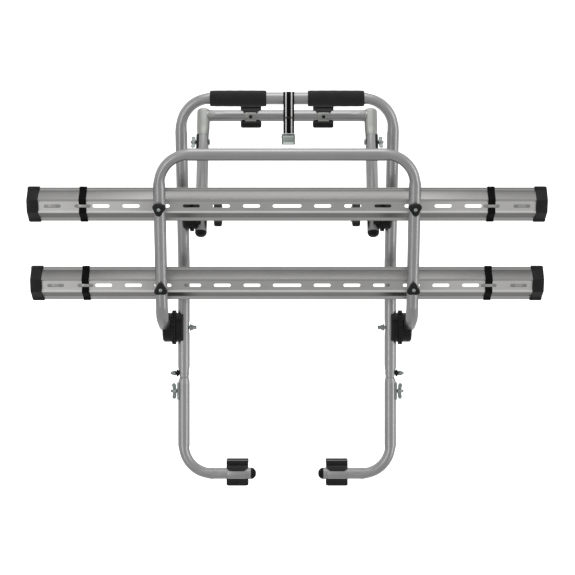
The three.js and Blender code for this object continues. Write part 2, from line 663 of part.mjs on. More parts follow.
// A three-lobed knob on its bolt, which passes through the bracket and the rail's slot.
function railKnob() {
  const grip = alongY(lobed(17.5, 4.5, 3, 18), -30, -TUBE - GAP);
  const bolt = turnedAlongY([
    [-33, 3.2], [WEB_Y + 1 + GAP, 3.2], [WEB_Y + 1 + GAP, 8], [WEB_Y + 5, 8],
  ]);
  return built([grip, bolt]);
}

function platformParts() {
  platformBracket();
  for (const [level, along] of [['upper', 0], ['lower', -RAIL_SPACING]]) {
    piece(platform, `${level}_rail`, wheelRail(), railMetal, [0, 0, along]);
    pair(platform, `${level}_rail_cap`, railCap(), plastic, [RAIL_HALF + GAP, 0, along]);
    pair(platform, `${level}_wheel_strap`, wheelStrap(), webbing, [STRAP_X, 0, along]);
    pair(platform, `${level}_rail_knob`, railKnob(), plastic, [PLATFORM_X, 0, along]);
  }
}

mainFrame();
securityStrap();
hinges();
hookFrameParts();
lowerArms();
platformParts();

export default carrier;
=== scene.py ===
# Rear-door bicycle carrier, folded for storage: its looks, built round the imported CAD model.
# Shapes are drawn in millimetres in three working frames, and build() puts them in the row frame:
#   CARRIER  x right, y towards the vehicle, z up; z = 0 between the rails, y = 0 on the lower legs
#   HOOKS    the tilting hook frame: origin on its hinge, z up along its legs
#   PLATFORM the folding platform: origin on the bracket at the upper rail, z up along the bracket

import json
import math

import bmesh
import bpy
import numpy as np
from mathutils import Matrix, Vector


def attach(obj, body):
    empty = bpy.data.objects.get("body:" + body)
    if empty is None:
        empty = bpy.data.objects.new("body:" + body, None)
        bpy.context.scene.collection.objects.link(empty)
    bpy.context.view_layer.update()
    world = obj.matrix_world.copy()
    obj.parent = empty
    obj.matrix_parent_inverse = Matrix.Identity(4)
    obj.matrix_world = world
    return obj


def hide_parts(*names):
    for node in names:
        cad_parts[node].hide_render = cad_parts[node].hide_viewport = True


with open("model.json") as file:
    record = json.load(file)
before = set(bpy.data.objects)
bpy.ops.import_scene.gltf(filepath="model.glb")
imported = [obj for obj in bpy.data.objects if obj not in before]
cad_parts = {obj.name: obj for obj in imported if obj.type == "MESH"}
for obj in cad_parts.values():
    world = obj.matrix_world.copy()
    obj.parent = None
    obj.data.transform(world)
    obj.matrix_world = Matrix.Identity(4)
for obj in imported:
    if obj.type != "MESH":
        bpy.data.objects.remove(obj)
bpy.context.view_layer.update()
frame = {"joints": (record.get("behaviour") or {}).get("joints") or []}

# ---- driving dimensions, mm
MM = 0.001
GAP = 0.3
TUBE = 15.0
WALL = 1.4
NECK = 12.4

FRAME_X = 264.3
FRAME_TOP = 469.0
KNEE = 60.0
FRAME_LEAN = math.radians(15.8)
FRAME_CORNER = 75.0
KNEE_RADIUS = 120.0
FOOT = -229.0

TILT_Z = 186.0
HOOK_LEAN = math.radians(20)
UPPER_HOOK_RISE = math.radians(15)
INNER_X = 217.6
INNER_TOP = 218.0
INNER_FOOT = -48.0
SLIDER_BOLT = 202.0
CROSSBAR = 278.0
SLIDER_TOP = 297.0
SLIDER_NECK_END = 60.0
SLIDER_TRAVEL = 80.0
KNOB_X = 164.6
NUT_SEAT = 18.2
CROSSBAR_RADIUS = 14.6
UPPER_HOOK_X = 94.5

FOLD_Z = -102.0
FOLD_FACE = 288.85
FOLD_OUTSIDE = 317.3
PLATFORM_X = 311.5
PLATFORM_LEAN = math.radians(14.7)
PLATFORM_TOP = 321.8
PLATFORM_CORNER = 74.0
END_SLOPE = math.radians(15)
END_TO_HINGE = 26.0
END_BEND = 45.0
TONGUE = 8.0
TONGUE_HEIGHT = 30.0
TONGUE_PAST_HINGE = 18.0
RAIL_Y = -168.3
RAIL_Z = 195.3
RAIL_SPACING = 201.4
KNOB_DEPTH = 22.0

RAIL_HALF = 612.0
CAP = 28.0
RIDGE_Y = TUBE + GAP + 1.7
RIDGE_HALF = 15.5
WEB_Y = RIDGE_Y + 3.4
WEB_HALF = 11.5
RAIL_WALL = 2.0
SLOT_HEIGHT = 8.4
SLOT = 42.0
CENTRE_SLOT = 71.0
FIRST_SLOT = 87.5
SLOT_PITCH = 74.0
SLOTS = 6
STRAP_X = 502.5
WHEEL_STRAP_WIDTH = 18.0
STRAP_SLOT = 40.0
END_SLOT_X = 577.0

ARM_Z = -476.0
ARM_RADIUS = 14.85
ARM_CORNER = 73.0
ARM_END = 93.0
ARM_NECK_TOP = -112.0
ARM_TRAVEL = 60.0
SHOULDER = 20.0
LOWER_HOOK_X = 128.0
LEG_BOLT_Z = -219.0
LEG_NUT_X = 284.0
ARM_BOLT_Z = -265.0

HOOK_WIDTH = 56.0
TEETH_RADIUS = 44.0
HINGE_BOLT = 5.0
CLAMP_BOLT = 4.0
CLAMP_HOLE = 4.6
FOAM_FROM = 51.5
FOAM_TO = 191.0
FOAM_RADIUS = 20.0
STRAP_DROP = 87.0
WEBBING_WIDTH = 28.0
WEBBING = 1.4
STRAP_RUN = 72.0                 # from the top bar's axis down to where the layers meet
STRAP_AT = 4.1                   # the loose strap hangs a little to the right

SIDES = {"right": 1, "left": -1}

# ---- working frames
JOINTS = {joint["name"]: joint for joint in frame["joints"]}


def joint_point(name):
    return Vector(JOINTS[name]["pos_m"])


def working_frame(origin, y_axis):
    """The matrix from millimetres in a working frame to metres in the row frame."""
    x_axis, y_axis = Vector((1, 0, 0)), Vector(y_axis).normalized()
    turn = Matrix((x_axis, y_axis, x_axis.cross(y_axis))).transposed().to_4x4()
    return Matrix.Translation(origin) @ turn @ Matrix.Scale(MM, 4)


CARRIER = working_frame(joint_point("platform_fold") - Vector((0, 0, FOLD_Z * MM)), (0, 1, 0))
hooks_up = Vector(JOINTS["hook_height"]["axis"])
HOOKS = working_frame(joint_point("hook_frame_tilt"), hooks_up.cross(Vector((1, 0, 0))))
platform_out = Vector(JOINTS["right_upper_rail_knob_spin"]["axis"])
knob_point = joint_point("right_upper_rail_knob_spin")
PLATFORM = working_frame(
    Vector((0, knob_point.y, knob_point.z)) + KNOB_DEPTH * MM * platform_out, platform_out
)


def frame_y(z):
    """Depth of the main frame's tube at a height."""
    return -max(0.0, z - KNEE) * math.tan(FRAME_LEAN)


TILT_Y = frame_y(TILT_Z)
TOP_Y = frame_y(FRAME_TOP)


# ---- outlines
def polar(reach, angle):
    return np.stack([reach * np.cos(angle), reach * np.sin(angle)], 1)


def circle(radius, count=48):
    return polar(radius, np.arange(count) * 2 * math.pi / count)


def arc(radius, start, end, count):
    """Points on an arc about the origin, angles in degrees."""
    return polar(radius, np.radians(np.linspace(start, end, count + 1)))


def unit(vector):
    return vector / np.linalg.norm(vector)


class Corner:
    """A corner between two straight edges, in two or three dimensions."""

    def __init__(self, before, corner, after):
        self.at, self.arriving, leaving = corner, unit(corner - before), unit(after - corner)
        self.angle = math.acos(float(np.clip(self.arriving @ leaving, -1, 1)))
        self.sideways = leaving - self.arriving * (leaving @ self.arriving)

    def arc(self, radius, shares):
        """Points on the arc that rounds it, and the direction inwards at each."""
        side = unit(self.sideways)
        start = self.at - self.arriving * radius * math.tan(self.angle / 2)
        turn = self.angle * np.asarray(shares)[:, None]
        inwards = side * np.cos(turn) - self.arriving * np.sin(turn)
        return start + side * radius - radius * inwards, inwards


def fillet(points, radius, steps=5, closed=True):
    """The same outline with each corner rounded, as far as its edges allow."""
    points = [np.array(p, float) for p in points]
    radii = [radius] * len(points) if np.isscalar(radius) else list(radius)
    made = []
    for i, at in enumerate(points):
        if not closed and i in (0, len(points) - 1):
            made.append(at)
            continue
        before, after = points[i - 1], points[(i + 1) % len(points)]
        corner = Corner(before, at, after)
        if corner.angle < 0.02 or radii[i] <= 0:
            made.append(at)
            continue
        room = 0.48 * min(np.linalg.norm(at - before), np.linalg.norm(after - at))
        actual = min(radii[i], room / math.tan(corner.angle / 2))
        made += list(corner.arc(actual, np.arange(steps + 1) / steps)[0])
    return np.array(made)


def offset(outline, distance, closed=True):
    """The outline moved to its left by a distance, with mitred corners."""
    outline = np.asarray(outline, float)
    ahead = np.roll(outline, -1, 0) - outline
    behind = outline - np.roll(outline, 1, 0)
    if not closed:
        ahead[-1], behind[0] = behind[-1], ahead[0]
    normals = []
    for step in (behind, ahead):
        step = step / np.maximum(np.linalg.norm(step, axis=1), 1e-9)[:, None]
        normals.append(np.stack([-step[:, 1], step[:, 0]], 1))
    mitre = normals[0] + normals[1]
    mitre = mitre / np.linalg.norm(mitre, axis=1)[:, None]
    stretch = np.maximum((mitre * normals[0]).sum(1), 0.35)
    return outline + mitre * (distance / stretch)[:, None]


def strip(line, thickness, radius=0.0, steps=5):
    """The outline of a strip of even thickness along an open line."""
    if radius > 0:
        line = fillet(line, radius, steps, closed=False)
    left, right = offset(line, thickness / 2, False), offset(line, -thickness / 2, False)
    return np.concatenate([left, right[::-1]])


def both_halves(half):
    """An upper half's points, then their mirror images back."""
    half = [tuple(p) for p in half]
    return half + [(a, -b) for a, b in half[::-1]]


def rectangle(left, right, low, high, radius, steps):
    return fillet([(left, low), (right, low), (right, high), (left, high)], radius, steps)


def smooth(share):
    """A share from 0 to 1 that starts and ends gently."""
    share = min(1.0, max(0.0, share))
    return share * share * (3 - 2 * share)


def lobed(radius, depth, lobes, count, turn=0.0):
    angle = np.arange(count) * 2 * math.pi / count
    return polar(radius - depth * (0.5 - 0.5 * np.cos(lobes * (angle - turn))), angle)


def rounded(half_x, half_y, power, count=56):
    """A rounded oblong: a power of 1 gives an ellipse, and less gives squarer corners."""
    section = circle(1.0, count)
    return np.sign(section) * np.abs(section) ** power * (half_x, half_y)


def slot_outline(length, height):
    half, end = (length - height) / 2, height / 2
    right = arc(end, -90, 90, 10) + [half, 0]
    return np.concatenate([right, arc(end, 90, 270, 10) - [half, 0]])


# ---- solids: (verts, faces, grain)
# The grain of a vertex is its place along (third) and across the material, for the surface nodes.
ORDER = {"x": (2, 0, 1), "y": (0, 2, 1), "z": (0, 1, 2)}


def loft(rings, grain=None, ring_shaped=False):
    """A skin over rings with the same number of points, capped or closed on itself."""
    rings = np.asarray(rings, float)
    rows, count = rings.shape[:2]
    faces = []
    for i in range(rows if ring_shaped else rows - 1):
        a, b = i * count, (i + 1) % rows * count
        faces += [(a + j, a + (j + 1) % count, b + (j + 1) % count, b + j) for j in range(count)]
    if not ring_shaped:
        faces.append(tuple(range(count))[::-1])
        faces.append(tuple(range((rows - 1) * count, rows * count)))
    verts = rings.reshape(-1, 3)
    return verts, faces, verts if grain is None else np.asarray(grain, float).reshape(-1, 3)


def on_axis(section, at, axis):
    return np.column_stack([section, np.full(len(section), at)])[:, ORDER[axis]]


def extrude(outline, start, end, axis="x", bevel=0.6, steps=2):
    """An outline drawn out along an axis, with rounded end edges."""
    outline = np.asarray(outline, float)
    spin = outline[:, 0] @ np.roll(outline[:, 1], -1) - outline[:, 1] @ np.roll(outline[:, 0], -1)
    if spin < 0:
        outline = outline[::-1]
    turns = math.pi / 2 * np.arange(steps + 1) / steps if bevel else [0]
    stations = [(bevel * (1 - math.sin(a)), bevel * (1 - math.cos(a))) for a in turns]
    levels = [(start + along, inset) for inset, along in stations]
    levels += [(end - along, inset) for inset, along in stations[::-1]]
    return along_third([on_axis(offset(outline, inset), at, axis) for at, inset in levels], axis)


def along_third(rings, axis):
    """A skin over rings drawn along an axis, with its grain along them."""
    rings = np.asarray(rings, float)
    return loft(rings, rings[..., np.argsort(ORDER[axis])])


def turned(profile, axis="x", count=48, radius=0.0, centre=(0, 0), steps=3):
    """A turned solid: (along, radius) pairs, with its corners rounded."""
    profile = [(a, max(r, 0.05)) for a, r in profile]
    if radius > 0:
        profile = fillet(profile, radius, steps, closed=False)
    return along_third([on_axis(circle(r, count) + centre, a, axis) for a, r in profile], axis)


def mirrored_x(solid):
    verts, faces, grain = solid
    return verts * [-1, 1, 1], [face[::-1] for face in faces], grain


def sided(solid, side):
    return solid if side > 0 else mirrored_x(solid)


def moved(solid, by):
    verts, faces, grain = solid
    return verts + np.array(by, float), faces, grain


def about_x(degrees):
    return Matrix.Rotation(math.radians(degrees), 4, "X")


def tipped(solid, degrees):
    """The solid turned about the x axis."""
    verts, faces, grain = solid
    return verts @ np.array(about_x(degrees).to_3x3()).T, faces, grain


def joined(*solids):
    verts, faces, grain, start = [], [], [], 0
    for v, f, g in solids:
        verts.append(v)
        grain.append(g)
        faces += [tuple(i + start for i in face) for face in f]
        start += len(v)
    return np.concatenate(verts), faces, np.concatenate(grain)


# ---- bent tubes
class Path:
    """Straight runs joined by arcs, in short steps, with how hard each point is bent."""

    def __init__(self, corners, radii, flattening, step=6.0, bend_step=3.0):
        corners = [np.array(c, float) for c in corners]
        points, bends = [corners[0]], [np.zeros(3)]

        def run_to(end):
            start = points[-1]
            count = max(1, math.ceil(np.linalg.norm(end - start) / step))
            points.extend(start + (end - start) * k / count for k in range(1, count + 1))
            bends.extend([np.zeros(3)] * count)

        for before, at, after, radius, flat in zip(corners, corners[1:], corners[2:], radii, flattening):
            corner = Corner(before, at, after)
            count = math.ceil(math.degrees(corner.angle) / bend_step)
            shares = np.arange(count + 1) / count
            arc_points, inwards = corner.arc(radius, shares)
            run_to(arc_points[0])
            points.extend(arc_points[1:])
            hardness = flat * np.minimum(1, 3 * np.sin(math.pi * shares))
            bends.extend((inwards * hardness[:, None])[1:])
        run_to(corners[-1])
        self.points, self.bends = np.array(points), np.array(bends)
        self.tangents = np.gradient(self.points, axis=0)
        self.tangents /= np.linalg.norm(self.tangents, axis=1)[:, None]
        gaps = np.linalg.norm(np.diff(self.points, axis=0), axis=1)
        self.along = np.concatenate([[0], np.cumsum(gaps)])

    def frames(self, first):
        """Two directions across the path at each point, carried along it without twist."""
        normals = [np.array(first, float)]
        for tangent in self.tangents[1:]:
            normals.append(unit(normals[-1] - tangent * (normals[-1] @ tangent)))
        normals = np.array(normals)
        return normals, np.cross(self.tangents, normals)


def dent(verts, normals, centre, size, depth):
    """Presses points near a centre inwards, along their own normals."""
    away = (verts - np.array(centre, float)) / np.array(size, float)
    share = np.clip(1 - (away**2).sum(-1), 0, 1)
    return verts - normals * (depth * share**1.5)[..., None]


def tube(path, radius, wall, first=(1, 0, 0), dents=(), shape=None, count=48):
    """A bent tube with open ends. Bends are flattened, and dents are (centre, size, depth)."""
    normals, crosses = path.frames(first)
    turn = np.arange(count) * 2 * math.pi / count
    bend_n = (path.bends * normals).sum(1)
    bend_c = (path.bends * crosses).sum(1)
    squeeze = 1 - np.stack([np.abs(bend_n), np.abs(bend_c)], 1)
    squeeze += 0.3 * np.stack([np.abs(bend_c), np.abs(bend_n)], 1)
    if shape is not None:
        squeeze = squeeze * np.array([shape(p) for p in path.points])
    skins, grains = [], []
    for reach in (radius, radius - wall):
        across = np.stack([np.cos(turn), np.sin(turn)], 1)[None] * (reach * squeeze)[:, None]
        outward = across[..., :1] * normals[:, None] + across[..., 1:] * crosses[:, None]
        verts = path.points[:, None] + outward
        unit = outward / np.linalg.norm(outward, axis=-1)[..., None]
        for centre, size, depth in dents:
            verts = dent(verts, unit, centre, size, depth)
        along = np.broadcast_to(path.along[:, None, None], across.shape[:2] + (1,))
        skins.append(verts)
        grains.append(np.concatenate([across, along], 2))
    outer, inner = skins
    lip = 0.3
    ends = []
    for i in (0, -1):
        middle = (outer[i] + inner[i]) / 2
        outwards = path.tangents[i] * (-lip if i == 0 else lip)
        ends.append([
            outer[i] + (middle - outer[i]) * 0.4 + outwards,
            inner[i] + (middle - inner[i]) * 0.4 + outwards,
        ])
    rings = [*outer, ends[1][0], ends[1][1], *inner[::-1], ends[0][1], ends[0][0]]
    grain = [*grains[0], grains[0][-1], grains[1][-1], *grains[1][::-1], grains[1][0], grains[0][0]]
    return loft(rings, grain, ring_shaped=True)


# ---- pieces
def build(name, solid, place, material, body, node=None, slot=None, cut=(), sharp=32):
    """Makes a piece in the row frame, cuts it, smooths it and puts it on its body.

    It stands for a CAD node if one is named. Its slot argument is not used."""
    obj = mesh_object(name, solid, place)
    obj.data.materials.append(material)
    if cut:
        carve(obj, [mesh_object(f"cut_{i}", each, place) for i, each in enumerate(cut)])
    obj.data.shade_smooth()
    obj.data.set_sharp_from_angle(angle=math.radians(sharp))
    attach(obj, body)
    if node:
        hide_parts(node)
    return obj


def pair(name, solid, place, material, body, node=None, at=(0, 0, 0), cut=(), **options):
    """Builds a piece on the right, and its mirror image on the left.

    Its name and its node get the side's name in front, and so does a body that starts with *."""
    pieces = []
    for side_name, side in SIDES.items():
        own, *cutters = [sided(moved(each, at), side) for each in (solid, *cut)]
        pieces.append(build(f"{side_name}_{name}", own, place, material,
                            body.replace("*", f"{side_name}_"), node and f"{side_name}_{node}",
                            cut=cutters, **options))
    return pieces


def mesh_object(name, solid, place):
    verts, faces, grain = solid
    matrix = np.array(place)
    mesh = bpy.data.meshes.new(name)
    mesh.from_pydata((verts @ matrix[:3, :3].T + matrix[:3, 3]).tolist(), [], faces)
    mesh.update()
    clean = bmesh.new()
    clean.from_mesh(mesh)
    bmesh.ops.recalc_face_normals(clean, faces=clean.faces)
    clean.to_mesh(mesh)
    clean.free()
    corners = np.zeros(len(mesh.loops), np.int32)
    mesh.loops.foreach_get("vertex_index", corners)
    layer = mesh.attributes.new("grain", "FLOAT_VECTOR", "CORNER")
    layer.data.foreach_set("vector", grain[corners].astype(np.float32).ravel())
    obj = bpy.data.objects.new(name, mesh)
    bpy.context.scene.collection.objects.link(obj)
    return obj


def carve(obj, cutters):
    """Cuts the other meshes out of a piece, and removes them."""
    for cutter in cutters:
        cut = obj.modifiers.new("cut", "BOOLEAN")
        cut.operation, cut.solver, cut.object = "DIFFERENCE", "EXACT", cutter
    bpy.context.view_layer.update()
    result = obj.evaluated_get(bpy.context.evaluated_depsgraph_get())
    mesh = bpy.data.meshes.new_from_object(result)
    obj.modifiers.clear()
    obj.data = mesh
    for cutter in cutters:
        bpy.data.objects.remove(cutter)


# ---- surfaces
class Nodes:
    """Adds nodes to a node tree."""

    def __init__(self, tree):
        self.tree = tree

    def node(self, kind, inputs=None, **settings):
        made = self.tree.nodes.new(kind)
        for key, value in settings.items():
            setattr(made, key, value)
        for key, value in (inputs or {}).items():
            if isinstance(value, bpy.types.NodeSocket):
                self.tree.links.new(value, made.inputs[key])
            else:
                made.inputs[key].default_value = value
        return made

    def math(self, operation, *values):
        return self.node("ShaderNodeMath", dict(enumerate(values)), operation=operation).outputs[0]

    def add(self, *values):
        return self.math("ADD", *values)

    def times(self, *values):
        return self.math("MULTIPLY", *values)

    def spread(self, value, start, end, low=0.0, high=1.0):
        """The value's share of the way from start to end, taken to the way from low to high."""
        inputs = {"Value": value, "From Min": start, "From Max": end, "To Min": low, "To Max": high}
        return self.node("ShaderNodeMapRange", inputs).outputs[0]

    def ramp(self, share, stops):
        """A grey that changes with a share, by stops of {share: brightness} from low to high."""
        node = self.node("ShaderNodeValToRGB", {"Fac": share})
        elements, places = node.color_ramp.elements, list(stops)
        elements[0].position, elements[1].position = places[0], places[-1]
        for place in places[1:-1]:
            elements.new(place)
        for element, place in zip(elements, places):
            element.color = (stops[place],) * 3 + (1,)
        return node.outputs["Color"]


class Surface(Nodes):
    """A procedural material: a Principled shader and the nodes that feed it."""

    def __init__(self, name, **values):
        self.material = bpy.data.materials.new(name)
        self.material.use_nodes = True
        super().__init__(self.material.node_tree)
        self.shader = self.tree.nodes["Principled BSDF"]
        for socket, value in values.items():
            self.shader.inputs[socket.replace("_", " ")].default_value = value
        self.grain = self.node("ShaderNodeAttribute", attribute_name="grain").outputs["Vector"]

    def noise(self, scale, detail=4.0, roughness=0.55):
        """Noise over the grain, with scale in features per millimetre: across, across, along."""
        place = self.node("ShaderNodeMapping", {"Vector": self.grain, "Scale": scale})
        values = {"Vector": place.outputs[0], "Scale": 1.0, "Detail": detail, "Roughness": roughness}
        return self.node("ShaderNodeTexNoise", values).outputs["Fac"]

    def between(self, share, low, high):
        """A noise's usual reach taken to the way from low to high."""
        return self.spread(share, 0.3, 0.7, low, high)

    def colour(self, share, low, high):
        """A mix of two colours, each three numbers or a socket."""
        mix = self.node("ShaderNodeMix", data_type="RGBA")
        sockets = {socket.identifier: socket for socket in (*mix.inputs, *mix.outputs)}
        self.tree.links.new(share, sockets["Factor_Float"])
        for name, value in (("A_Color", low), ("B_Color", high)):
            if isinstance(value, bpy.types.NodeSocket):
                self.tree.links.new(value, sockets[name])
            else:
                sockets[name].default_value = (*value, 1)
        return sockets["Result_Color"]

    def feed(self, socket, value):
        self.tree.links.new(value, self.shader.inputs[socket])

    def bump(self, height, depth, strength):
        inputs = {"Height": height, "Distance": depth * MM, "Strength": strength}
        self.feed("Normal", self.node("ShaderNodeBump", inputs).outputs[0])


def metal(name, dark, light, rough, line_scale, line_length, depth, faces=None):
    """Anodised or plated metal with fine lines along it, cloudy patches and light scratches.

    The faces of an extrusion can carry painted light and shade: a brightness by their place across it in
    mm."""
    surface = Surface(name, Metallic=1.0)
    lines = surface.noise((line_scale, line_scale, 1 / line_length), 8, 0.7)
    cloud = surface.noise((0.02, 0.02, 0.012), 4)
    scratch = surface.noise((1.1, 1.1, 0.045), 3, 0.8)
    share = surface.add(surface.times(lines, 0.5), surface.times(cloud, 0.5))
    colour = surface.colour(surface.between(share, 0, 1), dark, light)
    if faces:
        # Painted light and shade: each face of the rail is made brighter or darker by its height across the
        # section.
        place = surface.node("ShaderNodeSeparateXYZ", {"Vector": surface.grain}).outputs
        across = surface.add(surface.math("DIVIDE", place["Y"], 100.0), 0.5)
        painted_face_shading = surface.ramp(across, {at / 100 + 0.5: bright for at, bright in faces.items()})
        # Painted shade: the web is darker between the bracket's legs.
        middle = surface.spread(surface.math("ABSOLUTE", place["Z"]), 290.0, 420.0, 0.70, 1.0)
        on_web = surface.math("LESS_THAN", surface.math("ABSOLUTE", place["Y"]), WEB_HALF + 1)
        for factor in (painted_face_shading, surface.math("POWER", middle, on_web)):
            mix = surface.node("ShaderNodeVectorMath", {0: colour, 1: factor}, operation="MULTIPLY")
            colour = mix.outputs[0]
    surface.feed("Base Color", colour)
    worn = surface.times(surface.math("GREATER_THAN", scratch, 0.69), 0.07)
    surface.feed("Roughness", surface.add(surface.between(share, *rough), worn))
    surface.bump(lines, depth, 0.35)
    return surface.material


def moulded(name, dark, light, rough, depth, grain_size=0.35):
    """Moulded plastic or rubber: fine texture, faint mottling, edges rubbed lighter."""
    surface = Surface(name, Metallic=0.0, IOR=1.45, Specular_IOR_Level=0.4)
    texture = surface.noise((1 / grain_size,) * 3, 3, 0.6)
    cloud = surface.noise((0.03, 0.03, 0.03), 5)
    pointed = surface.node("ShaderNodeNewGeometry").outputs["Pointiness"]
    rubbed = surface.spread(pointed, 0.52, 0.62, 0.0, 0.05)
    share = surface.add(surface.between(cloud, 0, 0.8), rubbed)
    surface.feed("Base Color", surface.colour(share, dark, light))
    surface.feed("Roughness", surface.between(cloud, *rough))
    surface.bump(texture, depth, 0.6)
    return surface.material


def foam_surface():
    """Closed-cell foam: small open bubbles in a dull skin."""
    surface = Surface("foam", Roughness=0.92, Sheen_Weight=0.12, Sheen_Roughness=0.5)
    place = surface.node("ShaderNodeMapping", {"Vector": surface.grain, "Scale": (1.3, 1.3, 1.3)})
    cells = surface.node("ShaderNodeTexVoronoi", {"Vector": place.outputs[0], "Scale": 1.0})
    fine = surface.noise((4, 4, 4), 3)
    cloud = surface.noise((0.05, 0.05, 0.03), 4)
    surface.feed("Base Color", surface.colour(surface.between(cloud, 0, 1), (0.010,) * 3, (0.016,) * 3))
    surface.bump(surface.add(cells.outputs["Distance"], surface.times(fine, 0.4)), 0.35, 0.6)
    return surface.material


def webbing_surface(name, striped):
    """Woven webbing: ribs along it, each crossed by slanting yarns, with two stripes or none."""
    surface = Surface(name, Sheen_Weight=0.03, Sheen_Roughness=0.4, Specular_IOR_Level=0.15)
    place = surface.node("ShaderNodeSeparateXYZ", {"Vector": surface.grain}).outputs

    def bumps(share):
        return surface.math("SINE", surface.times(surface.math("FRACT", share), math.pi))

    rib = surface.math("DIVIDE", place["X"], 1.1)
    row = surface.math("FLOOR", rib)
    yarn = surface.add(surface.math("DIVIDE", place["Z"], 1.5), surface.times(row, 0.5))
    height = surface.times(surface.math("POWER", bumps(rib), 0.6), surface.math("POWER", bumps(yarn), 0.5))
    fuzz = surface.noise((6, 6, 2), 3)
    # The colour follows the weave's height, so the hollows between the yarns carry painted shade, mixed
    # with random fuzz.
    fuzz_and_weave_shade = surface.add(surface.times(height, 0.7), surface.times(fuzz, 0.4))
    colour = surface.colour(fuzz_and_weave_shade, (0.001, 0.001, 0.001), (0.006, 0.0055, 0.006))
    if striped:
        stripe = surface.math("COMPARE", surface.math("ABSOLUTE", place["X"]), 7.0, 1.7)
        colour = surface.colour(stripe, colour, surface.colour(fuzz_and_weave_shade, (0.62,) * 3, (0.92,) * 3))
    surface.feed("Base Color", colour)
    surface.feed("Roughness", surface.between(fuzz_and_weave_shade, 0.75, 0.95))
    surface.bump(height, 0.3, 0.7)
    return surface.material


# Painted light and shade on a rail's faces: their brightness by height from the middle of its section.
RAIL_PAINTED_SHADING = {
    -42: 0.8, -38: 1.25, -33: 1.25, -31.5: 0.62, -19: 0.6, -17.5: 1.0, -16.5: 1.9, -13: 1.9,
    -12: 1.4, -11: 1.7, 11: 1.75, 12: 1.2, 13.5: 1.2, 16.5: 0.9, 20: 0.88, 26: 0.78, 32.5: 0.58,
    34.5: 0.5, 35.5: 1.1, 38.5: 1.05, 39.5: 0.7, 42: 1.0,
}
TUBE_METAL = metal("tube_metal", (0.42,) * 3, (0.50,) * 3, (0.32, 0.38), 1.6, 60, 0.008)
FLAT_METAL = metal("flattened_metal", (0.40, 0.41, 0.385), (0.49, 0.50, 0.47), (0.38, 0.46), 1.6, 40, 0.015)
# The rail's metal carries painted light and shade on its faces, from the table above.
RAIL_METAL = metal("rail_metal", (0.45, 0.445, 0.44), (0.52, 0.515, 0.51), (0.28, 0.36), 2.2, 160,
                   0.02, RAIL_PAINTED_SHADING)
ZINC = metal("zinc_plate", (0.30, 0.345, 0.33), (0.50, 0.545, 0.515), (0.24, 0.42), 0.5, 3, 0.02)
PLASTIC = moulded("black_plastic", (0.006, 0.006, 0.0065), (0.014, 0.014, 0.0145), (0.36, 0.50), 0.05)
RUBBER = moulded("hook_rubber", (0.011, 0.011, 0.0115), (0.026, 0.025, 0.026), (0.55, 0.72), 0.08, 0.5)
FOAM = foam_surface()
STRAP_WEB = webbing_surface("wheel_strap_webbing", False)
SECURITY_WEB = webbing_surface("security_strap_webbing", True)
THREAD = moulded("thread", (0.05, 0.03, 0.03), (0.10, 0.06, 0.06), (0.7, 0.9), 0.03)


# ---- shared small parts
def threaded(start, end, radius, pitch=1.4):
    """The profile of a screw thread, drawn as close rings."""
    count = max(2, int(abs(end - start) / pitch))
    profile = []
    for k in range(count):
        at = start + (end - start) * k / count
        profile += [(at, radius - 0.45), (at + (end - start) / count / 2, radius)]
    return profile + [(end, radius - 0.9)]


def dome(start, end, radius, past=0.1):
    """The profile of a round head from start to end, closed on its axis just past the end."""
    rise = end - start
    turn = np.linspace(0, math.pi / 2, 7)
    profile = [(start + rise * math.sin(a), radius * math.cos(a) + 0.1) for a in turn]
    return profile + [(end + math.copysign(past, rise), 0)]


def hexagon(across_flats, start, end, axis, bevel):
    corners = circle(across_flats / math.sqrt(3), 6)
    return extrude(fillet(corners, 0.6, 2), start, end, axis, bevel)


def saddle(radius, height):
    """A curved plate against a tube of the given radius at x = 0, on its +x side."""
    line = arc(radius + GAP + 1.2, -42, 42, 14)
    return extrude(strip(line, 2.2), -height / 2, height / 2, "z", 0.7)


def wrapped(radius, thickness, start, end, widths, corner):
    """A pad round a tube along x, from one angle to another, with its last corners rounded."""
    rings, grain = [], []
    length = radius * math.radians(abs(end - start))
    for share in np.sin(np.linspace(0, math.pi / 2, 25)):
        left = (1 - share) * length
        half = np.interp(share, np.linspace(0, 1, len(widths)), widths) / 2
        if left < corner:
            half -= corner - math.sqrt(max(0, corner**2 - (corner - left) ** 2))
        soft = 0.9 * math.sqrt(max(0, 1 - min(1, left / 0.9, share * length / 0.9)))
        depth = thickness / 2 - soft * 0.7
        section = rectangle(soft - half, half - soft, -depth, depth, 1.1, 4)
        turn = math.radians(start + (end - start) * share)
        reach = radius + section[:, 1]
        rings.append(np.column_stack([section[:, 0], reach * math.cos(turn), reach * math.sin(turn)]))
        grain.append(np.column_stack([section, np.full(len(section), share * length)]))
    return loft(rings, grain)


def wing_nut(name, place, at, degrees):
    """A wing nut with a body of its own, seated at a point and turned from upright wings."""
    hub = turned([(0, 0), (0, 6.2), (3, 6.6), (8.6, 5.6), (11.4, 4.0), (11.4, 0)], "x", 32, 1.6)
    outline = fillet([(0.9, 2), (1.6, 17), (4.2, 21.9), (10, 21.7), (12.2, 17), (9.4, 2)], 3.6, 5)
    wing = extrude(outline, -1.8, 1.8, "y", 1.2, 3)
    nut = joined(hub, wing, tipped(wing, 180))
    pair(f"{name}_wing_nut_body", tipped(nut, degrees), place, ZINC, f"*{name}_wing_nut",
         f"{name}_wing_nut", at)


def adjusting_slot(bolt, travel, x):
    """The cutter of the slot that lets a neck slide along its bolt: up by a travel, or down."""
    length = abs(travel) + 2 * CLAMP_HOLE
    slot = extrude(slot_outline(length, 2 * CLAMP_HOLE)[:, ::-1], -30, 30, "x", 0)
    return moved(slot, (x, 0, bolt + math.copysign(length / 2 - CLAMP_HOLE, travel)))


# ---- main frame
def both_sides(half):
    return half + [(-x, y, z) for x, y, z in half[::-1]]


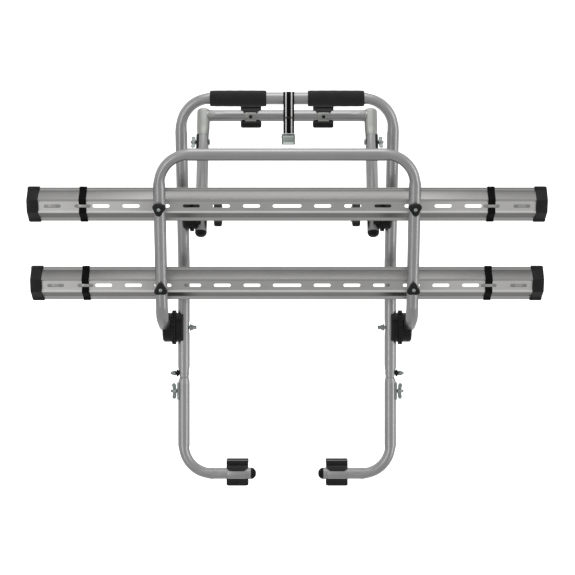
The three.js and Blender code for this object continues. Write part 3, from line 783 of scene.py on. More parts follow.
def main_frame():
    half = [(FRAME_X, 0, FOOT), (FRAME_X, 0, KNEE), (FRAME_X, TOP_Y, FRAME_TOP)]
    path = Path(both_sides(half), [KNEE_RADIUS, FRAME_CORNER, FRAME_CORNER, KNEE_RADIUS],
                [0.04, 0.13, 0.13, 0.04])
    bend_end = FRAME_TOP - FRAME_CORNER * math.cos(FRAME_LEAN)
    dents = []
    for side in SIDES.values():
        outer, inner = side * (FRAME_X + TUBE), side * (FRAME_X - TUBE)
        dents += [((outer, 0, FOOT), (14, 18, 26), 4.6),
                  ((inner, 0, LEG_BOLT_Z - 4), (12, 17, 22), 2.6),
                  ((inner, 0, FOLD_Z), (9, 12, 17), 2.6),
                  ((inner, frame_y(bend_end), bend_end - 3), (9, 14, 9), 1.3),
                  ((outer, frame_y(bend_end), bend_end), (8, 14, 6), 0.8)]
    build("main_frame_tube", tube(path, TUBE, WALL, dents=dents), CARRIER, TUBE_METAL,
          "main_frame", "main_frame")


def foam_grips():
    length = FOAM_TO - FOAM_FROM
    at = np.linspace(0, 1, 40)
    swell = FOAM_RADIUS - 0.5 + 0.5 * np.sqrt(np.sin(math.pi * at)) + 0.12 * np.sin(31 * at)
    outer = [(FOAM_FROM + length * a, r) for a, r in zip(at, swell)]
    outer = [(FOAM_FROM, FOAM_RADIUS - 2.2), (FOAM_FROM + 0.3, FOAM_RADIUS - 1.1), *outer[1:-1],
             (FOAM_TO - 0.3, FOAM_RADIUS - 1.1), (FOAM_TO, FOAM_RADIUS - 2.2)]
    inner = [(FOAM_TO, TUBE + 0.2), (FOAM_FROM, TUBE + 0.2)]
    rings = [on_axis(circle(r, 64), a, "x") for a, r in outer + inner]
    solid = loft(rings, np.asarray(rings)[..., (1, 2, 0)], ring_shaped=True)
    for grip in pair("foam_sleeve", solid, CARRIER, FOAM, "main_frame", "foam_grip",
                     (0, TOP_Y, FRAME_TOP)):
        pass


def leg_bolts():
    head = turned([(252.8, 0), (252.8, 6.2), (252.2, 6.2), *dome(252.1, 250.9, 6.1)], "x", 32)
    shank = turned([(250, 0), *threaded(276, 298.6, CLAMP_BOLT), (298.8, 0)], "x", 24)
    washer = turned([(276, 0), (276, 5.4), (280.9, 9.4), (281.9, 9.4), (283.6, 4.4), (283.6, 0)],
                    "x", 40, 0.4)
    at = (0, 0, LEG_BOLT_Z)
    pair("leg_bolt_body", joined(head, shank), CARRIER, ZINC, "main_frame", "leg_bolt", at)
    pair("leg_bolt_washer", washer, CARRIER, PLASTIC, "main_frame", at=at)
    wing_nut("leg", CARRIER, (LEG_NUT_X, 0, LEG_BOLT_Z), 80)


# ---- security strap
def band(line, width, thickness, centre=0.0):
    """Flat webbing along a line in the y-z plane, with soft edges and its grain unrolled."""
    line = np.asarray(line, float)
    gaps = np.linalg.norm(np.diff(line, axis=0), axis=1)
    along = np.concatenate([[0], np.cumsum(gaps)])
    across = np.linspace(-1, 1, 15)
    edge = thickness / 2 * np.sqrt(np.clip(1 - np.abs(across) ** 14, 0.15, 1))
    rings, grain = [], []
    up = offset(line, 1.0, False) - line
    for at, point, normal in zip(along, line, up):
        ring, own = [], []
        for side in (1, -1):
            for share, rise in list(zip(across, edge))[::side]:
                yz = point + normal * rise * side
                ring.append((centre + share * width / 2, yz[0], yz[1]))
                own.append((share * width / 2, rise * side, at))
        rings.append(ring)
        grain.append(own)
    return loft(rings, grain), along[-1]


def stitches(start, end, heights, depth, radius=0.5, spacing=1.7):
    """Rows of short threads along x, at several heights."""
    count = int((end - start) / spacing)
    tip, waist = 0.36 * spacing, 0.3 * spacing
    thread = turned([(-tip, 0), (-waist, radius * 0.7), (0, radius), (waist, radius * 0.7), (tip, 0)],
                    "x", 8)
    places = [(start + (end - start) * (k + 0.5) / count, depth, z) for z in heights for k in range(count)]
    return joined(*[moved(thread, place) for place in places])


def security_strap():
    front_y = -1.0
    reach = TUBE + 0.4 + WEBBING / 2
    slope = (reach + front_y) / STRAP_RUN
    tangent = math.degrees(math.asin(slope))
    over = arc(reach, -tangent, 180 + tangent, 40)
    front = np.array([(front_y, -STRAP_RUN), (front_y, -STRAP_DROP)])
    line = np.concatenate([front[::-1] * [-1, 1], over, front])
    line = fillet(line, 14, 6, closed=False) + [TOP_Y, FRAME_TOP]
    width = WEBBING_WIDTH - 1
    strap, length = band(line, width, WEBBING, STRAP_AT)
    loop = build("security_strap_webbing", strap, CARRIER, SECURITY_WEB, "main_frame",
                 "security_strap", sharp=60)

    # The free end is folded over the front layer and sewn down.
    fold_y, fold_width = front_y - WEBBING, WEBBING_WIDTH - 1.4
    doubled = [(fold_y - 0.1 - (STRAP_RUN + z) * slope, z) for z in (-47.0, -58.0, -69.0)]
    doubled += [(fold_y - 0.2, -73.0), (fold_y - 0.2, -80.0)]
    doubled = np.array(doubled) + [TOP_Y, FRAME_TOP]
    lap, length = band(doubled, fold_width, WEBBING, STRAP_AT)
    fold = build("security_strap_fold", lap, CARRIER, SECURITY_WEB, "main_frame", sharp=60)
    seam_y, seam_z = doubled[0] - [WEBBING / 2 + 0.1, 0]
    edge = WEBBING_WIDTH / 2 - 1.6
    heights = [seam_z - rise for rise in (0.3, 1.1, 1.9, 2.7, 3.5)]
    sewn = build("security_strap_stitches", stitches(STRAP_AT - edge, STRAP_AT + edge, heights, seam_y),
                 CARRIER, THREAD, "main_frame")


def cam_buckle():
    top = FRAME_TOP - STRAP_DROP - GAP
    half, pin_drop = 13.5, 8.0
    middle = (STRAP_AT - 1, TOP_Y, top - half)
    cheek = fillet([(-7.2, -half), (3.4, -half), (4.8, -6), (4.8, half), (-3.5, half), (-7.2, 6)], 2.4, 4)
    bar = turned([(-15.6, 0), (-15.6, 1.7), (15.6, 1.7), (15.6, 0)], "x", 20, 0.3)
    pin_heads = [turned([(a, 0), (a, 2.6), (a + s * 0.9, 2.3), (a + s * 0.9, 0)], "x", 20, 0.2)
                 for a, s in ((16.6, 1), (-16.6, -1))]
    pin = (0, -2, half - pin_drop)
    solids = [extrude(cheek, 14.9, 16.6, "x", 0.35), extrude(cheek, -16.6, -14.9, "x", 0.35),
              extrude(rectangle(3, 5, -half, half, 0.5, 2), -16, 16, "x", 0.3), moved(bar, pin),
              moved(bar, (0, -3.4, -11.4)), *[moved(head, pin) for head in pin_heads]]
    window = extrude(rectangle(-11, 11, -6, 1, 1.5, 3), -2, 12, "y", 0)
    build("cam_buckle_frame", moved(joined(*solids), middle), CARRIER, ZINC, "main_frame",
          "cam_buckle", cut=[moved(window, middle)])

    plate = strip([(-3.6, 1.5), (-5.2, -2.5), (-6.2, -8), (-5.4, -14), (-8.4, -19.2)], 1.7, 4, 5)
    cam = circle(4.4, 40)
    cam[:, 0] += 0.35 * np.sign(np.sin(np.arange(40) * 2 * math.pi / 5))
    rib = fillet([(-7.4, -2), (-5.6, -2), (-6.2, -11), (-7.9, -11)], 0.5, 2)
    ribs = [extrude(rib, x - 0.7, x + 0.7) for x in (-9, 0, 9)]
    lever = joined(extrude(plate, -13.8, 13.8, "x", 0.6), extrude(cam, -13.4, 13.4, "x", 0.4), *ribs)
    build("cam_lever_plate", moved(lever, (STRAP_AT - 1, TOP_Y - 2, top - pin_drop)), CARRIER, ZINC,
          "cam_lever", "cam_lever")


# ---- hinges
def ratchet_half(outside, chamfer, teeth=24):
    """One half of a ratchet hinge, with its toothed face at x = 0 and ribs round its body."""
    body = [(0.2, 0), (0.2, 36.6), (5.4, 36.6)]
    groove_at = 6.4
    while groove_at + 4.5 < outside - chamfer:
        body += [(groove_at, 37.4), (groove_at + 2.2, 37.4), (groove_at + 2.5, 36.1),
                 (groove_at + 3.7, 36.1), (groove_at + 4.0, 37.4)]
        groove_at += 4.2
    body += [(outside - chamfer, 37.4), (outside - GAP, 37.6 - chamfer), (outside - GAP, 0)]
    angle = np.arange(teeth * 4) * 2 * math.pi / (teeth * 4)
    reach = TEETH_RADIUS - 1.8 + 1.7 * np.tanh(2.2 * np.sin(teeth * angle))
    return joined(turned(body, "x", 72), extrude(polar(reach, angle), 0.3, 4.8, "x", 0.7))


def tube_groove(depth, lean, start=-70):
    """What a tube takes out of a hinge half: it runs along z leaned by an angle, at x = depth."""
    hug = turned([(start, 0), (start, TUBE + 0.5), (70, TUBE + 0.5), (70, 0)], "z", 48)
    return moved(tipped(hug, math.degrees(lean)), (depth, 0, 0))


def hinge_tongue(clearance):
    """The pressed end of a bracket tube about the fold bolt, which narrows out of the tube."""
    thick, tall = TONGUE / 2 + clearance, TONGUE_HEIGHT / 2 + clearance
    rings = []
    for k, along in enumerate(np.linspace(-TONGUE_PAST_HINGE - clearance, END_TO_HINGE + 8, 24)):
        end = min(1.0, (k + 0.6) / 6)
        swell = smooth((along - END_TO_HINGE + 14) / 16) if clearance == 0 else 0
        half_x = thick + (TUBE - 0.2 - thick) * swell
        half_y = (tall + (TUBE - 0.2 - tall) * swell) * math.sqrt(1 - (1 - end) ** 2 * 0.8)
        rings.append(on_axis(rounded(half_x, half_y, 0.35 + 0.65 * swell), along, "z"))
    return tipped(along_third(rings, "z"), 90 - math.degrees(END_SLOPE))


def hinges():
    half = (FRAME_X - INNER_X) / 2
    face = INNER_X + half
    leg_depth, end_depth = FOLD_FACE - FRAME_X, PLATFORM_X - FOLD_FACE
    end_openings = [tube_groove(end_depth, math.pi / 2 - END_SLOPE, END_TO_HINGE - 1),
                    moved(hinge_tongue(0.9), (end_depth, 0, 0))]
    for node, outside, openings, facing, at, place, body in (
        ("upper_hinge_outer", half, [tube_groove(half, FRAME_LEAN)], 1, (face, TILT_Y, TILT_Z),
         CARRIER, "main_frame"),
        ("upper_hinge_inner", half, [tube_groove(half, 0)], -1, (face, 0, 0), HOOKS, "hook_frame"),
        ("lower_hinge_inner", leg_depth, [tube_groove(leg_depth, 0)], -1, (FOLD_FACE, 0, FOLD_Z),
         CARRIER, "main_frame"),
        ("lower_hinge_outer", FOLD_OUTSIDE - FOLD_FACE, end_openings, 1, (FOLD_FACE, 0, FOLD_Z),
         CARRIER, "platform"),
    ):
        solids = (ratchet_half(outside, 4.2 if facing > 0 else 1.4), *openings)
        shell, *cut = [sided(each, facing) for each in solids]
        pair(f"{node}_shell", shell, place, PLASTIC, body, node, at, cut)

    head_seat = FOLD_OUTSIDE + GAP
    inner_wall = FRAME_X - TUBE - GAP
    upper = joined(
        turned([(172, 0), *threaded(172, 182, HINGE_BOLT), (279, HINGE_BOLT), (279, 0)], "x", 24),
        turned([(279.7, 0), (279.7, 10), *dome(280.6, 284.4, 9.8)], "x", 40),
    )
    lower = joined(
        turned([(232, 0), *threaded(232, 243, HINGE_BOLT), (head_seat, HINGE_BOLT), (head_seat, 0)],
               "x", 24),
        hexagon(14, 240.5, 246.5, "x", 0.8),
        turned([(246.5, 0), (246.5, 9.6), (inner_wall, 9.6), (inner_wall, 0)], "x", 40, 0.4),
        turned([(head_seat, 0), (head_seat, 10), *dome(head_seat + 0.7, head_seat + 4.5, 9.8)], "x", 40),
    )
    for level, bolt, at in (("upper", upper, (0, TILT_Y, TILT_Z)), ("lower", lower, (0, 0, FOLD_Z))):
        pair(f"{level}_hinge_pin", bolt, CARRIER, ZINC, "main_frame", f"{level}_hinge_bolt", at)
    hand_knobs()


def hand_knobs():
    reach = INNER_X - TUBE - GAP - KNOB_X
    grip = extrude(lobed(32, 3.6, 7, 140), 0.3, 20.6, "x", 4.5, 5)
    hub = turned([(10, 0), (10, 14), (24, 12.6), (reach, 10), (reach, 0)], "x", 48, 1.2)
    cap = turned([(-0.1, 0), (-0.1, 11), (1.4, 12.5), (4, 12.5), (4, 0)], "x", 48, 0.6)
    dish = turned([(-2, 0), (-2, 20), (1.6, 17), (1.6, 0)], "x", 48)
    at = (KNOB_X, TILT_Y, TILT_Z)
    pair("hand_knob", joined(grip, hub), CARRIER, PLASTIC, "*hinge_knob", "hinge_knob", at, [dish])
    pair("hand_knob_cap", moved(cap, (0.6, 0, 0)), CARRIER, PLASTIC, "*hinge_knob", at=at)


# ---- hook frame
def ribbed_plug(start, seat, end, radius):
    """The profile of a ribbed plug: a collar from start to seat, then a dome towards end."""
    step = 1 if end > start else -1
    profile = [(start, 0), (start, radius - 0.4), (seat, radius)]
    span = end - seat
    for share in (np.arange(5) + 0.5) / 6:
        r = radius * math.sqrt(1 - share**2)
        at = seat + span * share
        profile += [(at - 0.9 * step, r + 0.1), (at - 0.4 * step, r - 0.7), (at + 0.4 * step, r - 0.7),
                    (at + 0.7 * step, r - 0.1)]
    return profile + [(end - 0.4 * step, radius * 0.34), (end, 2), (end, 0)]


def hook_frame():
    plug = turned(ribbed_plug(INNER_FOOT + 4, INNER_FOOT - 2, -61.5, TUBE), "z", 48)
    for name, side in SIDES.items():
        x = side * INNER_X
        leg = Path([(x, 0, INNER_FOOT), (x, 0, INNER_TOP)], [], [])
        dents = [((x + side * TUBE, 0, SLIDER_BOLT), (10, 14, 22), 1.0)]
        build(f"{name}_inner_leg_tube", tube(leg, TUBE, WALL, dents=dents), HOOKS, TUBE_METAL,
              "hook_frame", f"{name}_inner_leg")
        build(f"{name}_inner_leg_plug", moved(plug, (x, 0, 0)), HOOKS, PLASTIC, "hook_frame")

    at = (INNER_X, 0, SLIDER_BOLT)
    seat = -TUBE - GAP
    head = turned([(seat, 0), (seat, 8), (-16.4, 8), *dome(-16.6, -19, 7.8)], "x", 32)
    shank = turned([(-16, 0), *threaded(14, 31.8, CLAMP_BOLT), (32, 0)], "x", 24)
    pair("slider_bolt_body", joined(head, shank), HOOKS, ZINC, "hook_frame", "slider_bolt", at)
    pair("slider_saddle", saddle(TUBE, 40), HOOKS, PLASTIC, "hook_frame", at=at, slot="zinc_steel")
    wing_nut("slider", HOOKS, (INNER_X + NUT_SEAT, 0, SLIDER_BOLT), -25)
    crossbar()
    for name, side in SIDES.items():
        spot = Matrix.Translation((side * UPPER_HOOK_X, 0, CROSSBAR))
        turn = Matrix.Rotation(HOOK_LEAN + UPPER_HOOK_RISE, 4, "X")
        hook(name, "upper", HOOKS @ spot @ turn, "hook_slider")


def crossbar():
    end = INNER_X - 9
    bar = Path([(-end, 0, CROSSBAR), (end, 0, CROSSBAR)], [], [])

    def pressed(point):
        """The bar's ends are pressed a little flat where they meet the sliders."""
        share = smooth((abs(point[0]) - 184) / 18)
        return 1 + 0.07 * share, 1 - 0.18 * share

    dents = [((side * x, -CROSSBAR_RADIUS * 0.9, CROSSBAR + z), (8, 8, 3.2), 1.1)
             for side in SIDES.values() for x, z in ((175, 6.5), (177, 0.5))]
    solid = tube(bar, CROSSBAR_RADIUS, 1.8, first=(0, 0, 1), dents=dents, shape=pressed)
    build("hook_crossbar_tube", solid, HOOKS, TUBE_METAL, "hook_slider", "hook_crossbar")

    wide, deep, top_round = TUBE + 1.6, TUBE - 2.2, 9.0
    stations = [(INNER_TOP + GAP, TUBE, TUBE)]
    for share in np.linspace(0, 1, 8):
        grown = smooth(share)
        stations.append((INNER_TOP + 1.5 + 26 * share, TUBE + (wide - TUBE) * grown,
                         TUBE + (deep - TUBE) * grown))
    for turn in np.linspace(0, math.pi / 2, 9):
        inset = top_round * (1 - math.cos(turn))
        stations.append((SLIDER_TOP - top_round * (1 - math.sin(turn)), wide - inset,
                         deep - 0.75 * inset))
    rings = np.array([on_axis(rounded(w, d, 0.82), z, "z") for z, w, d in stations])
    weld = turned([(-1.8, CROSSBAR_RADIUS - 1), (-1.0, CROSSBAR_RADIUS + 0.9),
                   (1.0, CROSSBAR_RADIUS + 1.2), (2.4, CROSSBAR_RADIUS - 0.1)], "x", 48, 0.4)
    for name, side in SIDES.items():
        x = side * INNER_X
        neck = turned([(SLIDER_NECK_END, 0), (SLIDER_NECK_END, NECK), (INNER_TOP + 3, NECK),
                       (INNER_TOP + 3, 0)], "z", 48, 0.5, (x, 0))
        build(f"{name}_slider_tube", along_third(rings + [x, 0, 0], "z"), HOOKS, FLAT_METAL,
              "hook_slider")
        build(f"{name}_slider_neck", neck, HOOKS, TUBE_METAL, "hook_slider",
              cut=[adjusting_slot(SLIDER_BOLT, -SLIDER_TRAVEL, x)])
        build(f"{name}_crossbar_weld", moved(weld, (side * (INNER_X - TUBE - 0.6), 0, CROSSBAR)),
              HOOKS, FLAT_METAL, "hook_slider")


# ---- hooks
def hook(name, level, place, body):
    """A rubber-lined hook on a tube along x: C bracket, front plate, bolt and rubber liner."""
    upper = level == "upper"
    half = HOOK_WIDTH / 2 - (1.2 if upper else 0)

    def part(kind, solid, material, node=None, slot="zinc_steel"):
        node = node and f"{name}_{level}_{node}"
        build(f"{name}_{level}_hook_{kind}", solid, place, material, body, node, slot)

    channel = strip([(46, 28.5), (17.2, 28.5), (17.2, -28.5), (46, -28.5)], 3, 3.5, 5)
    part("bracket", extrude(channel, 3 - half, half - 3, "x", 0.5), ZINC, "hook")
    front = strip(arc(TUBE + GAP + 1.2, 133, 227, 16), 2.2)
    across, plate_metal = (14.5, FLAT_METAL) if upper else (24.5, TUBE_METAL)
    part("plate", extrude(front, -across, across, "x", 0.7), plate_metal)
    shank = turned([(-16.4, 0), (-16.4, CLAMP_BOLT), (17, CLAMP_BOLT), (17, 0)], "y", 24)
    part("bolt", joined(hexagon(8.6, -21.8, -16, "y", 0.7), shank) if upper else shank, PLASTIC)

    liner = fillet([
        (15.3, 13.6), (15.3, 33), (48.2, 33), (50, 31.5), (50, 24), (48, 22), (23, 22), (23, -22),
        (48, -22), (50, -24), (50, -31.5), (48.2, -33), (15.3, -33), (15.3, -13.6),
    ], [0.4, 1, 1.5, 1.5, 1.5, 1.5, 3.5, 3.5, 1.5, 1.5, 1.5, 1.5, 1, 0.4], 5)
    waist = half if upper else half - 0.6
    reach = TUBE + (2.1 if upper else 3.0)
    if upper:
        pads = [(142, [53, 50, 42, 35], 1.5), (-131, [50, 50, 50, 49], 4.5)]
    else:
        pads = [(155, [55, 55, 54, 50, 43], 5.0), (-116, [54, 54, 54, 53], 5.0)]
        lip = rectangle(1.5 - half, half - 1.5, 30.6, 32.6, 0.5, 2)
        part("lip", extrude(lip, 11.8, 17, "y", 0.3), FLAT_METAL)
    solids = [extrude(liner, -half, half, "x", 1.2, 3),
              extrude(rectangle(-waist, waist, 13.6, 33.8, 2.2, 5), 12.4, 17, "y", 1.4, 4),
              extrude(rectangle(-waist, waist, -13.6, -33.8, 5, 6), 12.4, 17, "y", 1.4, 4),
              *[wrapped(reach, 3.6, math.copysign(36, end), end, widths, corner)
                for end, widths, corner in pads]]
    part("liner", joined(*solids), RUBBER, "hook_rubber", "hook_rubber")


# ---- lower arms
def lower_arms():
    straight_end = FRAME_X - ARM_CORNER

    def flattened(point):
        """The level run stays pressed flat until it opens out again at its end."""
        reach = abs(point[0])
        share = 0 if reach > straight_end - 0.01 else smooth((reach - ARM_END) / 26)
        return 1 - 0.05 * share, 1 + 0.02 * share

    shoulder_end = FOOT - SHOULDER
    rise = np.linspace(0, 1, 13)
    funnel = [(FOOT - SHOULDER * (1 - a) - GAP * a, ARM_RADIUS - (ARM_RADIUS - NECK) * a**3) for a in rise]
    profile = [(shoulder_end - 3, 0), (shoulder_end - 3, ARM_RADIUS - 1.2), *funnel,
               (ARM_NECK_TOP, NECK), (ARM_NECK_TOP, 0)]
    front = -ARM_RADIUS * 0.95
    for name, side in SIDES.items():
        x, body = side * FRAME_X, f"{name}_arm"
        path = Path([(x, 0, shoulder_end), (x, 0, ARM_Z), (side * ARM_END, 0, ARM_Z)],
                    [ARM_CORNER], [0.11])
        dents = [((side * 180, front, ARM_Z + 0.5), (11, 9, 4.4), 2.0),
                 ((side * 223, front, ARM_Z + 10), (6.5, 9, 3.6), 1.2)]
        build(f"{name}_arm_tube", tube(path, ARM_RADIUS, WALL, dents=dents, shape=flattened), CARRIER,
              TUBE_METAL, body, f"{name}_lower_arm")
        neck = turned(profile, "z", 48, 0, (x, 0))
        # The shoulder is pressed in, mostly on its outer side.
        verts = neck[0]
        share = np.clip((verts[:, 2] - shoulder_end) / SHOULDER, 0, 1) ** 2.6
        press = np.where((verts[:, 0] - x) * side > 0, 0.26, 0.05)
        verts[:, 0] -= (verts[:, 0] - x) * press * share
        build(f"{name}_arm_neck", neck, CARRIER, TUBE_METAL, body,
              cut=[adjusting_slot(LEG_BOLT_Z, ARM_TRAVEL, x)])
        spot = Matrix.Translation((side * LOWER_HOOK_X, 0, ARM_Z))
        hook(name, "lower", CARRIER @ spot, body)

    at = (FRAME_X, 0, ARM_BOLT_Z)
    plug = turned(ribbed_plug(95, 91, 79.4, ARM_RADIUS), "x", 48)
    stud = turned([(8, 0), (8, 4), *threaded(15, 33.8, CLAMP_BOLT), (34, 0)], "x", 24)
    pair("arm_plug", plug, CARRIER, PLASTIC, "*arm", at=(0, 0, ARM_Z))
    pair("arm_bolt_body", stud, CARRIER, ZINC, "*arm", "arm_bolt", at)
    pair("arm_saddle", saddle(ARM_RADIUS, 44), CARRIER, ZINC, "*arm", at=at)
    wing_nut("arm", CARRIER, (FRAME_X + NUT_SEAT, 0, ARM_BOLT_Z), 20)


# ---- platform
def platform_bracket():
    drop = math.tan(PLATFORM_LEAN)
    reach = (-RAIL_Y + (FOLD_Z - RAIL_Z) * drop) / (math.cos(END_SLOPE) - math.sin(END_SLOPE) * drop)

    def on_end(along):
        return (PLATFORM_X, -along * math.cos(END_SLOPE), FOLD_Z + along * math.sin(END_SLOPE))

    top_y = RAIL_Y - (PLATFORM_TOP - RAIL_Z) * drop
    half = [on_end(END_TO_HINGE), on_end(reach), (PLATFORM_X, top_y, PLATFORM_TOP)]
    path = Path(both_sides(half), [END_BEND, PLATFORM_CORNER, PLATFORM_CORNER, END_BEND],
                [0.10, 0.13, 0.13, 0.10])
    build("platform_bracket_tube", tube(path, TUBE, WALL), CARRIER, TUBE_METAL, "platform",
          "platform_bracket")
    hole = extrude(circle(HINGE_BOLT + 0.7, 32), -20, 20, "x", 0)
    for name, side in SIDES.items():
        spot = (side * PLATFORM_X, 0, FOLD_Z)
        build(f"{name}_bracket_tongue", moved(hinge_tongue(0), spot), CARRIER, FLAT_METAL,
              "platform", cut=[moved(hole, spot)])


def wheel_rail(level, along):
    section = strip(both_halves([
        (RIDGE_Y + 25.5, 41.0), (RIDGE_Y + 23, 33), (RIDGE_Y, RIDGE_HALF), (WEB_Y, WEB_HALF),
    ]), RAIL_WALL, 2.2, 5)
    beads = [extrude(circle(r, 16) + [RIDGE_Y + depth, up * rise], -RAIL_HALF, RAIL_HALF, "x", 0.3, 1)
             for up in (1, -1) for depth, rise, r in ((25.6, 40.4, 1.6), (23.0, 33.6, 1.3))]
    places = {SLOT: [FIRST_SLOT + i * SLOT_PITCH for i in range(SLOTS)] + [END_SLOT_X],
              STRAP_SLOT: [STRAP_X], CENTRE_SLOT: [0]}
    slots = []
    for length, spots in places.items():
        shape = extrude(slot_outline(length, SLOT_HEIGHT), WEB_Y - 5, WEB_Y + 5, "y", 0)
        slots += [moved(shape, (side * x, 0, 0)) for x in spots for side in ((1, -1) if x else (1,))]
    lift = (0, 0, along)
    build(f"{level}_rail_section", moved(extrude(section, -RAIL_HALF, RAIL_HALF, "x", 0.3, 1), lift),
          PLATFORM, RAIL_METAL, "platform", f"{level}_rail", cut=[moved(joined(*slots), lift)], sharp=26)
    build(f"{level}_rail_beads", moved(joined(*beads), lift), PLATFORM, RAIL_METAL, "platform")


def rail_caps(level, along):
    outline = fillet(both_halves([
        (RIDGE_Y + 30, 44), (RIDGE_Y + 23, 44), (RIDGE_Y + 21, 37), (RIDGE_Y - 2.5, 16),
    ]), 2.4, 5)
    flange = [(RIDGE_Y + 30, 44.4), (RIDGE_Y + 22, 44.4), (RIDGE_Y + 20.4, 35.5), (RIDGE_Y + 30, 35.5)]
    bands = [extrude(fillet([(a, up * b) for a, b in flange], 1.2, 3), -3, CAP - 2.5, "x", 1.6, 4)
             for up in (1, -1)]
    middle = rectangle(RIDGE_Y - 3.3, RIDGE_Y + 4, 10, -10, 0.8, 3)
    solids = [extrude(outline, 0, CAP, "x", 3.2, 5), *bands, extrude(middle, -1.2, CAP - 1, "x", 1.6, 4)]
    pair(f"{level}_rail_end_cap", joined(*solids), PLATFORM, PLASTIC, "platform",
         f"{level}_rail_cap", (RAIL_HALF + GAP, 0, along))


def wheel_straps(level, along):
    line = both_halves([
        (RIDGE_Y + 30.5, 38), (RIDGE_Y + 29.5, 43.3), (RIDGE_Y + 22.4, 43.3), (RIDGE_Y + 20.7, 34.8),
        (RIDGE_Y - 3, 17), (RIDGE_Y - 3.3, 13.2), (WEB_Y - 2.6, 8), (WEB_Y - 2.6, 5.2),
        (WEB_Y + 0.3, 4.4),
    ])
    strap, length = band(fillet(line, 2.6, 5, closed=False), WHEEL_STRAP_WIDTH, 1.7)
    for name, side in SIDES.items():
        piece = build(f"{name}_{level}_strap_webbing", moved(strap, (side * STRAP_X, 0, along)),
                      PLATFORM, STRAP_WEB, "platform", f"{name}_{level}_wheel_strap", sharp=60)


def rail_clips(level, along):
    """Pressed plates behind the last two slots, with a tongue in each of the two."""
    plate = extrude(rectangle(-99, 27, -8, 8, 2, 4), WEB_Y + 1.2, WEB_Y + 2.6, "y", 0.4)
    tongue = extrude(rectangle(-9, 9, -4, 4, 1.5, 4), WEB_Y - 0.9, WEB_Y + 2, "y", 0.6)
    bridge = extrude(rectangle(-84, -65, -3.7, 3.7, 1, 3), WEB_Y - 2.4, WEB_Y - 0.8, "y", 0.4)
    at = (END_SLOT_X, 0, along)
    for kind, solid, metal_used in (("rail_clip", plate, TUBE_METAL),
                                    ("strap_bridge", joined(bridge, tongue), RAIL_METAL)):
        pair(f"{level}_{kind}", solid, PLATFORM, metal_used, "platform", at=at, slot="zinc_steel")


def rail_knob(name, level, along, turn):
    """A three-lobed knob with a bright nut in it, on a bolt through the bracket and the rail."""
    spot = (SIDES[name] * PLATFORM_X, 0, along)
    grip = extrude(lobed(17.5, 5.2, 3, 120, math.radians(turn)), -28.5, -TUBE - GAP, "y", 3.4, 5)
    boss = turned([(-30, 0), (-30, 8.2), (-26, 9), (-26, 0)], "y", 40, 0.9)
    nut = turned([(-30.2, 0), (-30.2, 4.6), *dome(-31, -33.2, 4.4)], "y", 32)
    shank = turned([(-20, 0), (-20, 3.2), (WEB_Y + 3, 3.2), (WEB_Y + 3, 0)], "y", 20)
    plate = turned([(WEB_Y + 1.3, 0), (WEB_Y + 1.3, 8), (WEB_Y + 2.8, 8),
                    *dome(WEB_Y + 3, WEB_Y + 5, 6, 0)], "y", 32)
    body = f"{name}_{level}_rail_knob"
    build(f"{body}_grip", moved(joined(grip, boss), spot), PLATFORM, PLASTIC, body, body)
    build(f"{body}_bolt", moved(joined(nut, shank, plate), spot), PLATFORM, ZINC, body)


def platform():
    platform_bracket()
    for level, along, turns in (("upper", 0.0, (35, 145)), ("lower", -RAIL_SPACING, (90, 90))):
        for add in (wheel_rail, rail_caps, wheel_straps, rail_clips):
            add(level, along)
        for name, turn in zip(SIDES, turns):
            rail_knob(name, level, along, turn)


# ---- studio
# Brightness of the room by direction in the y-z plane: 0 behind the object, 90 above, 180 the front.
ROOM = {-180: 0.52, -179: 0.52, -151: 0.46, -131: 0.46, -109: 0.48, -83: 0.53, -47: 0.57, 0: 0.55,
        25: 0.6, 47: 0.75, 83: 0.72, 109: 0.64, 131: 0.6, 151: 0.58, 170: 0.54, 180: 0.52}


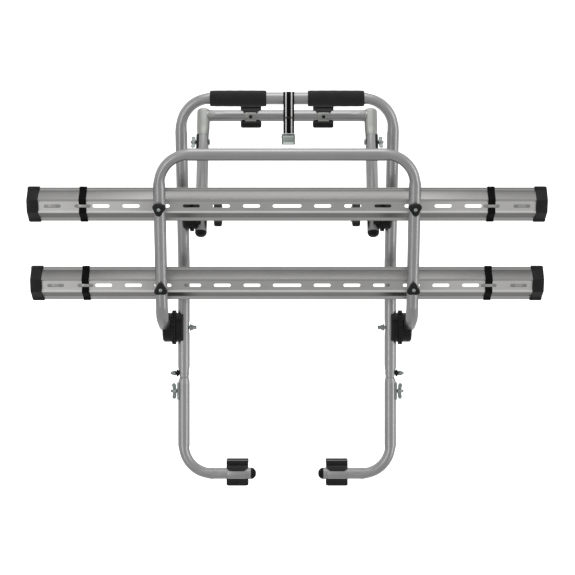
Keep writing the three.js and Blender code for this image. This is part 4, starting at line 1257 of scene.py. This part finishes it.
def room(scene):
    """A grey sky round the object, by ROOM."""
    scene.world = bpy.data.worlds.new("studio")
    scene.world.use_nodes = True
    sky = Nodes(scene.world.node_tree)
    texture = sky.node("ShaderNodeTexCoord")
    direction = sky.node("ShaderNodeSeparateXYZ", {0: texture.outputs["Generated"]}).outputs
    share = sky.spread(sky.math("ARCTAN2", direction["Z"], direction["Y"]), -math.pi, math.pi)
    grey = sky.ramp(share, {(degrees + 180) / 360: bright for degrees, bright in ROOM.items()})
    background = sky.tree.nodes["Background"]
    sky.tree.links.new(grey, background.inputs["Color"])
    background.inputs["Strength"].default_value = 1.0


def studio():
    middle = CARRIER @ Vector((0, -60, 0))
    scene = bpy.context.scene
    scene.view_settings.view_transform = "Standard"
    room(scene)

    for name, azimuth, elevation, distance, size, power in (
        ("left_softbox", -36, 0, 6, (1.5, 6.0), 36),
        ("right_softbox", 66, 0, 6, (1.5, 6.0), 52),
        ("top_softbox", 0, 76, 1.8, (1.15, 1.2), 4.3),
    ):
        light = bpy.data.lights.new(name, "AREA")
        light.shape, light.size, light.size_y, light.energy = "RECTANGLE", *size, power
        a, e = math.radians(azimuth), math.radians(elevation)
        away = Vector((math.sin(a) * math.cos(e), -math.cos(a) * math.cos(e), math.sin(e)))
        box = bpy.data.objects.new(name, light)
        box.location = middle + away * distance
        box.rotation_euler = (middle - box.location).to_track_quat("-Z", "Y").to_euler()
        scene.collection.objects.link(box)

    paper = Surface("paper", Roughness=0.9, Emission_Strength=1.0, Base_Color=(0.9, 0.9, 0.9, 1),
                    Emission_Color=(1, 1, 1, 1))
    hall = turned([(-900, 0), (-900, 9000), (0, 12000), (6000, 12000), (12000, 6000), (12000, 0)],
                  "z", 64, 2500, steps=8)
    floor = mesh_object("floor", hall, Matrix.Translation(middle) @ Matrix.Scale(MM, 4))
    floor.data.shade_smooth()
    floor.data.materials.append(paper.material)
    floor.visible_glossy = floor.visible_diffuse = floor.visible_shadow = False

    camera = bpy.data.cameras.new("camera")
    camera.lens, camera.sensor_width = 89.2, 36
    view = bpy.data.objects.new("camera", camera)
    view.location = CARRIER @ Vector((1, -3650, 0))
    view.rotation_euler = (math.radians(90), 0, 0)
    scene.collection.objects.link(view)
    scene.camera = view


studio()
main_frame()
foam_grips()
leg_bolts()
security_strap()
cam_buckle()
hinges()
hook_frame()
lower_arms()
platform()
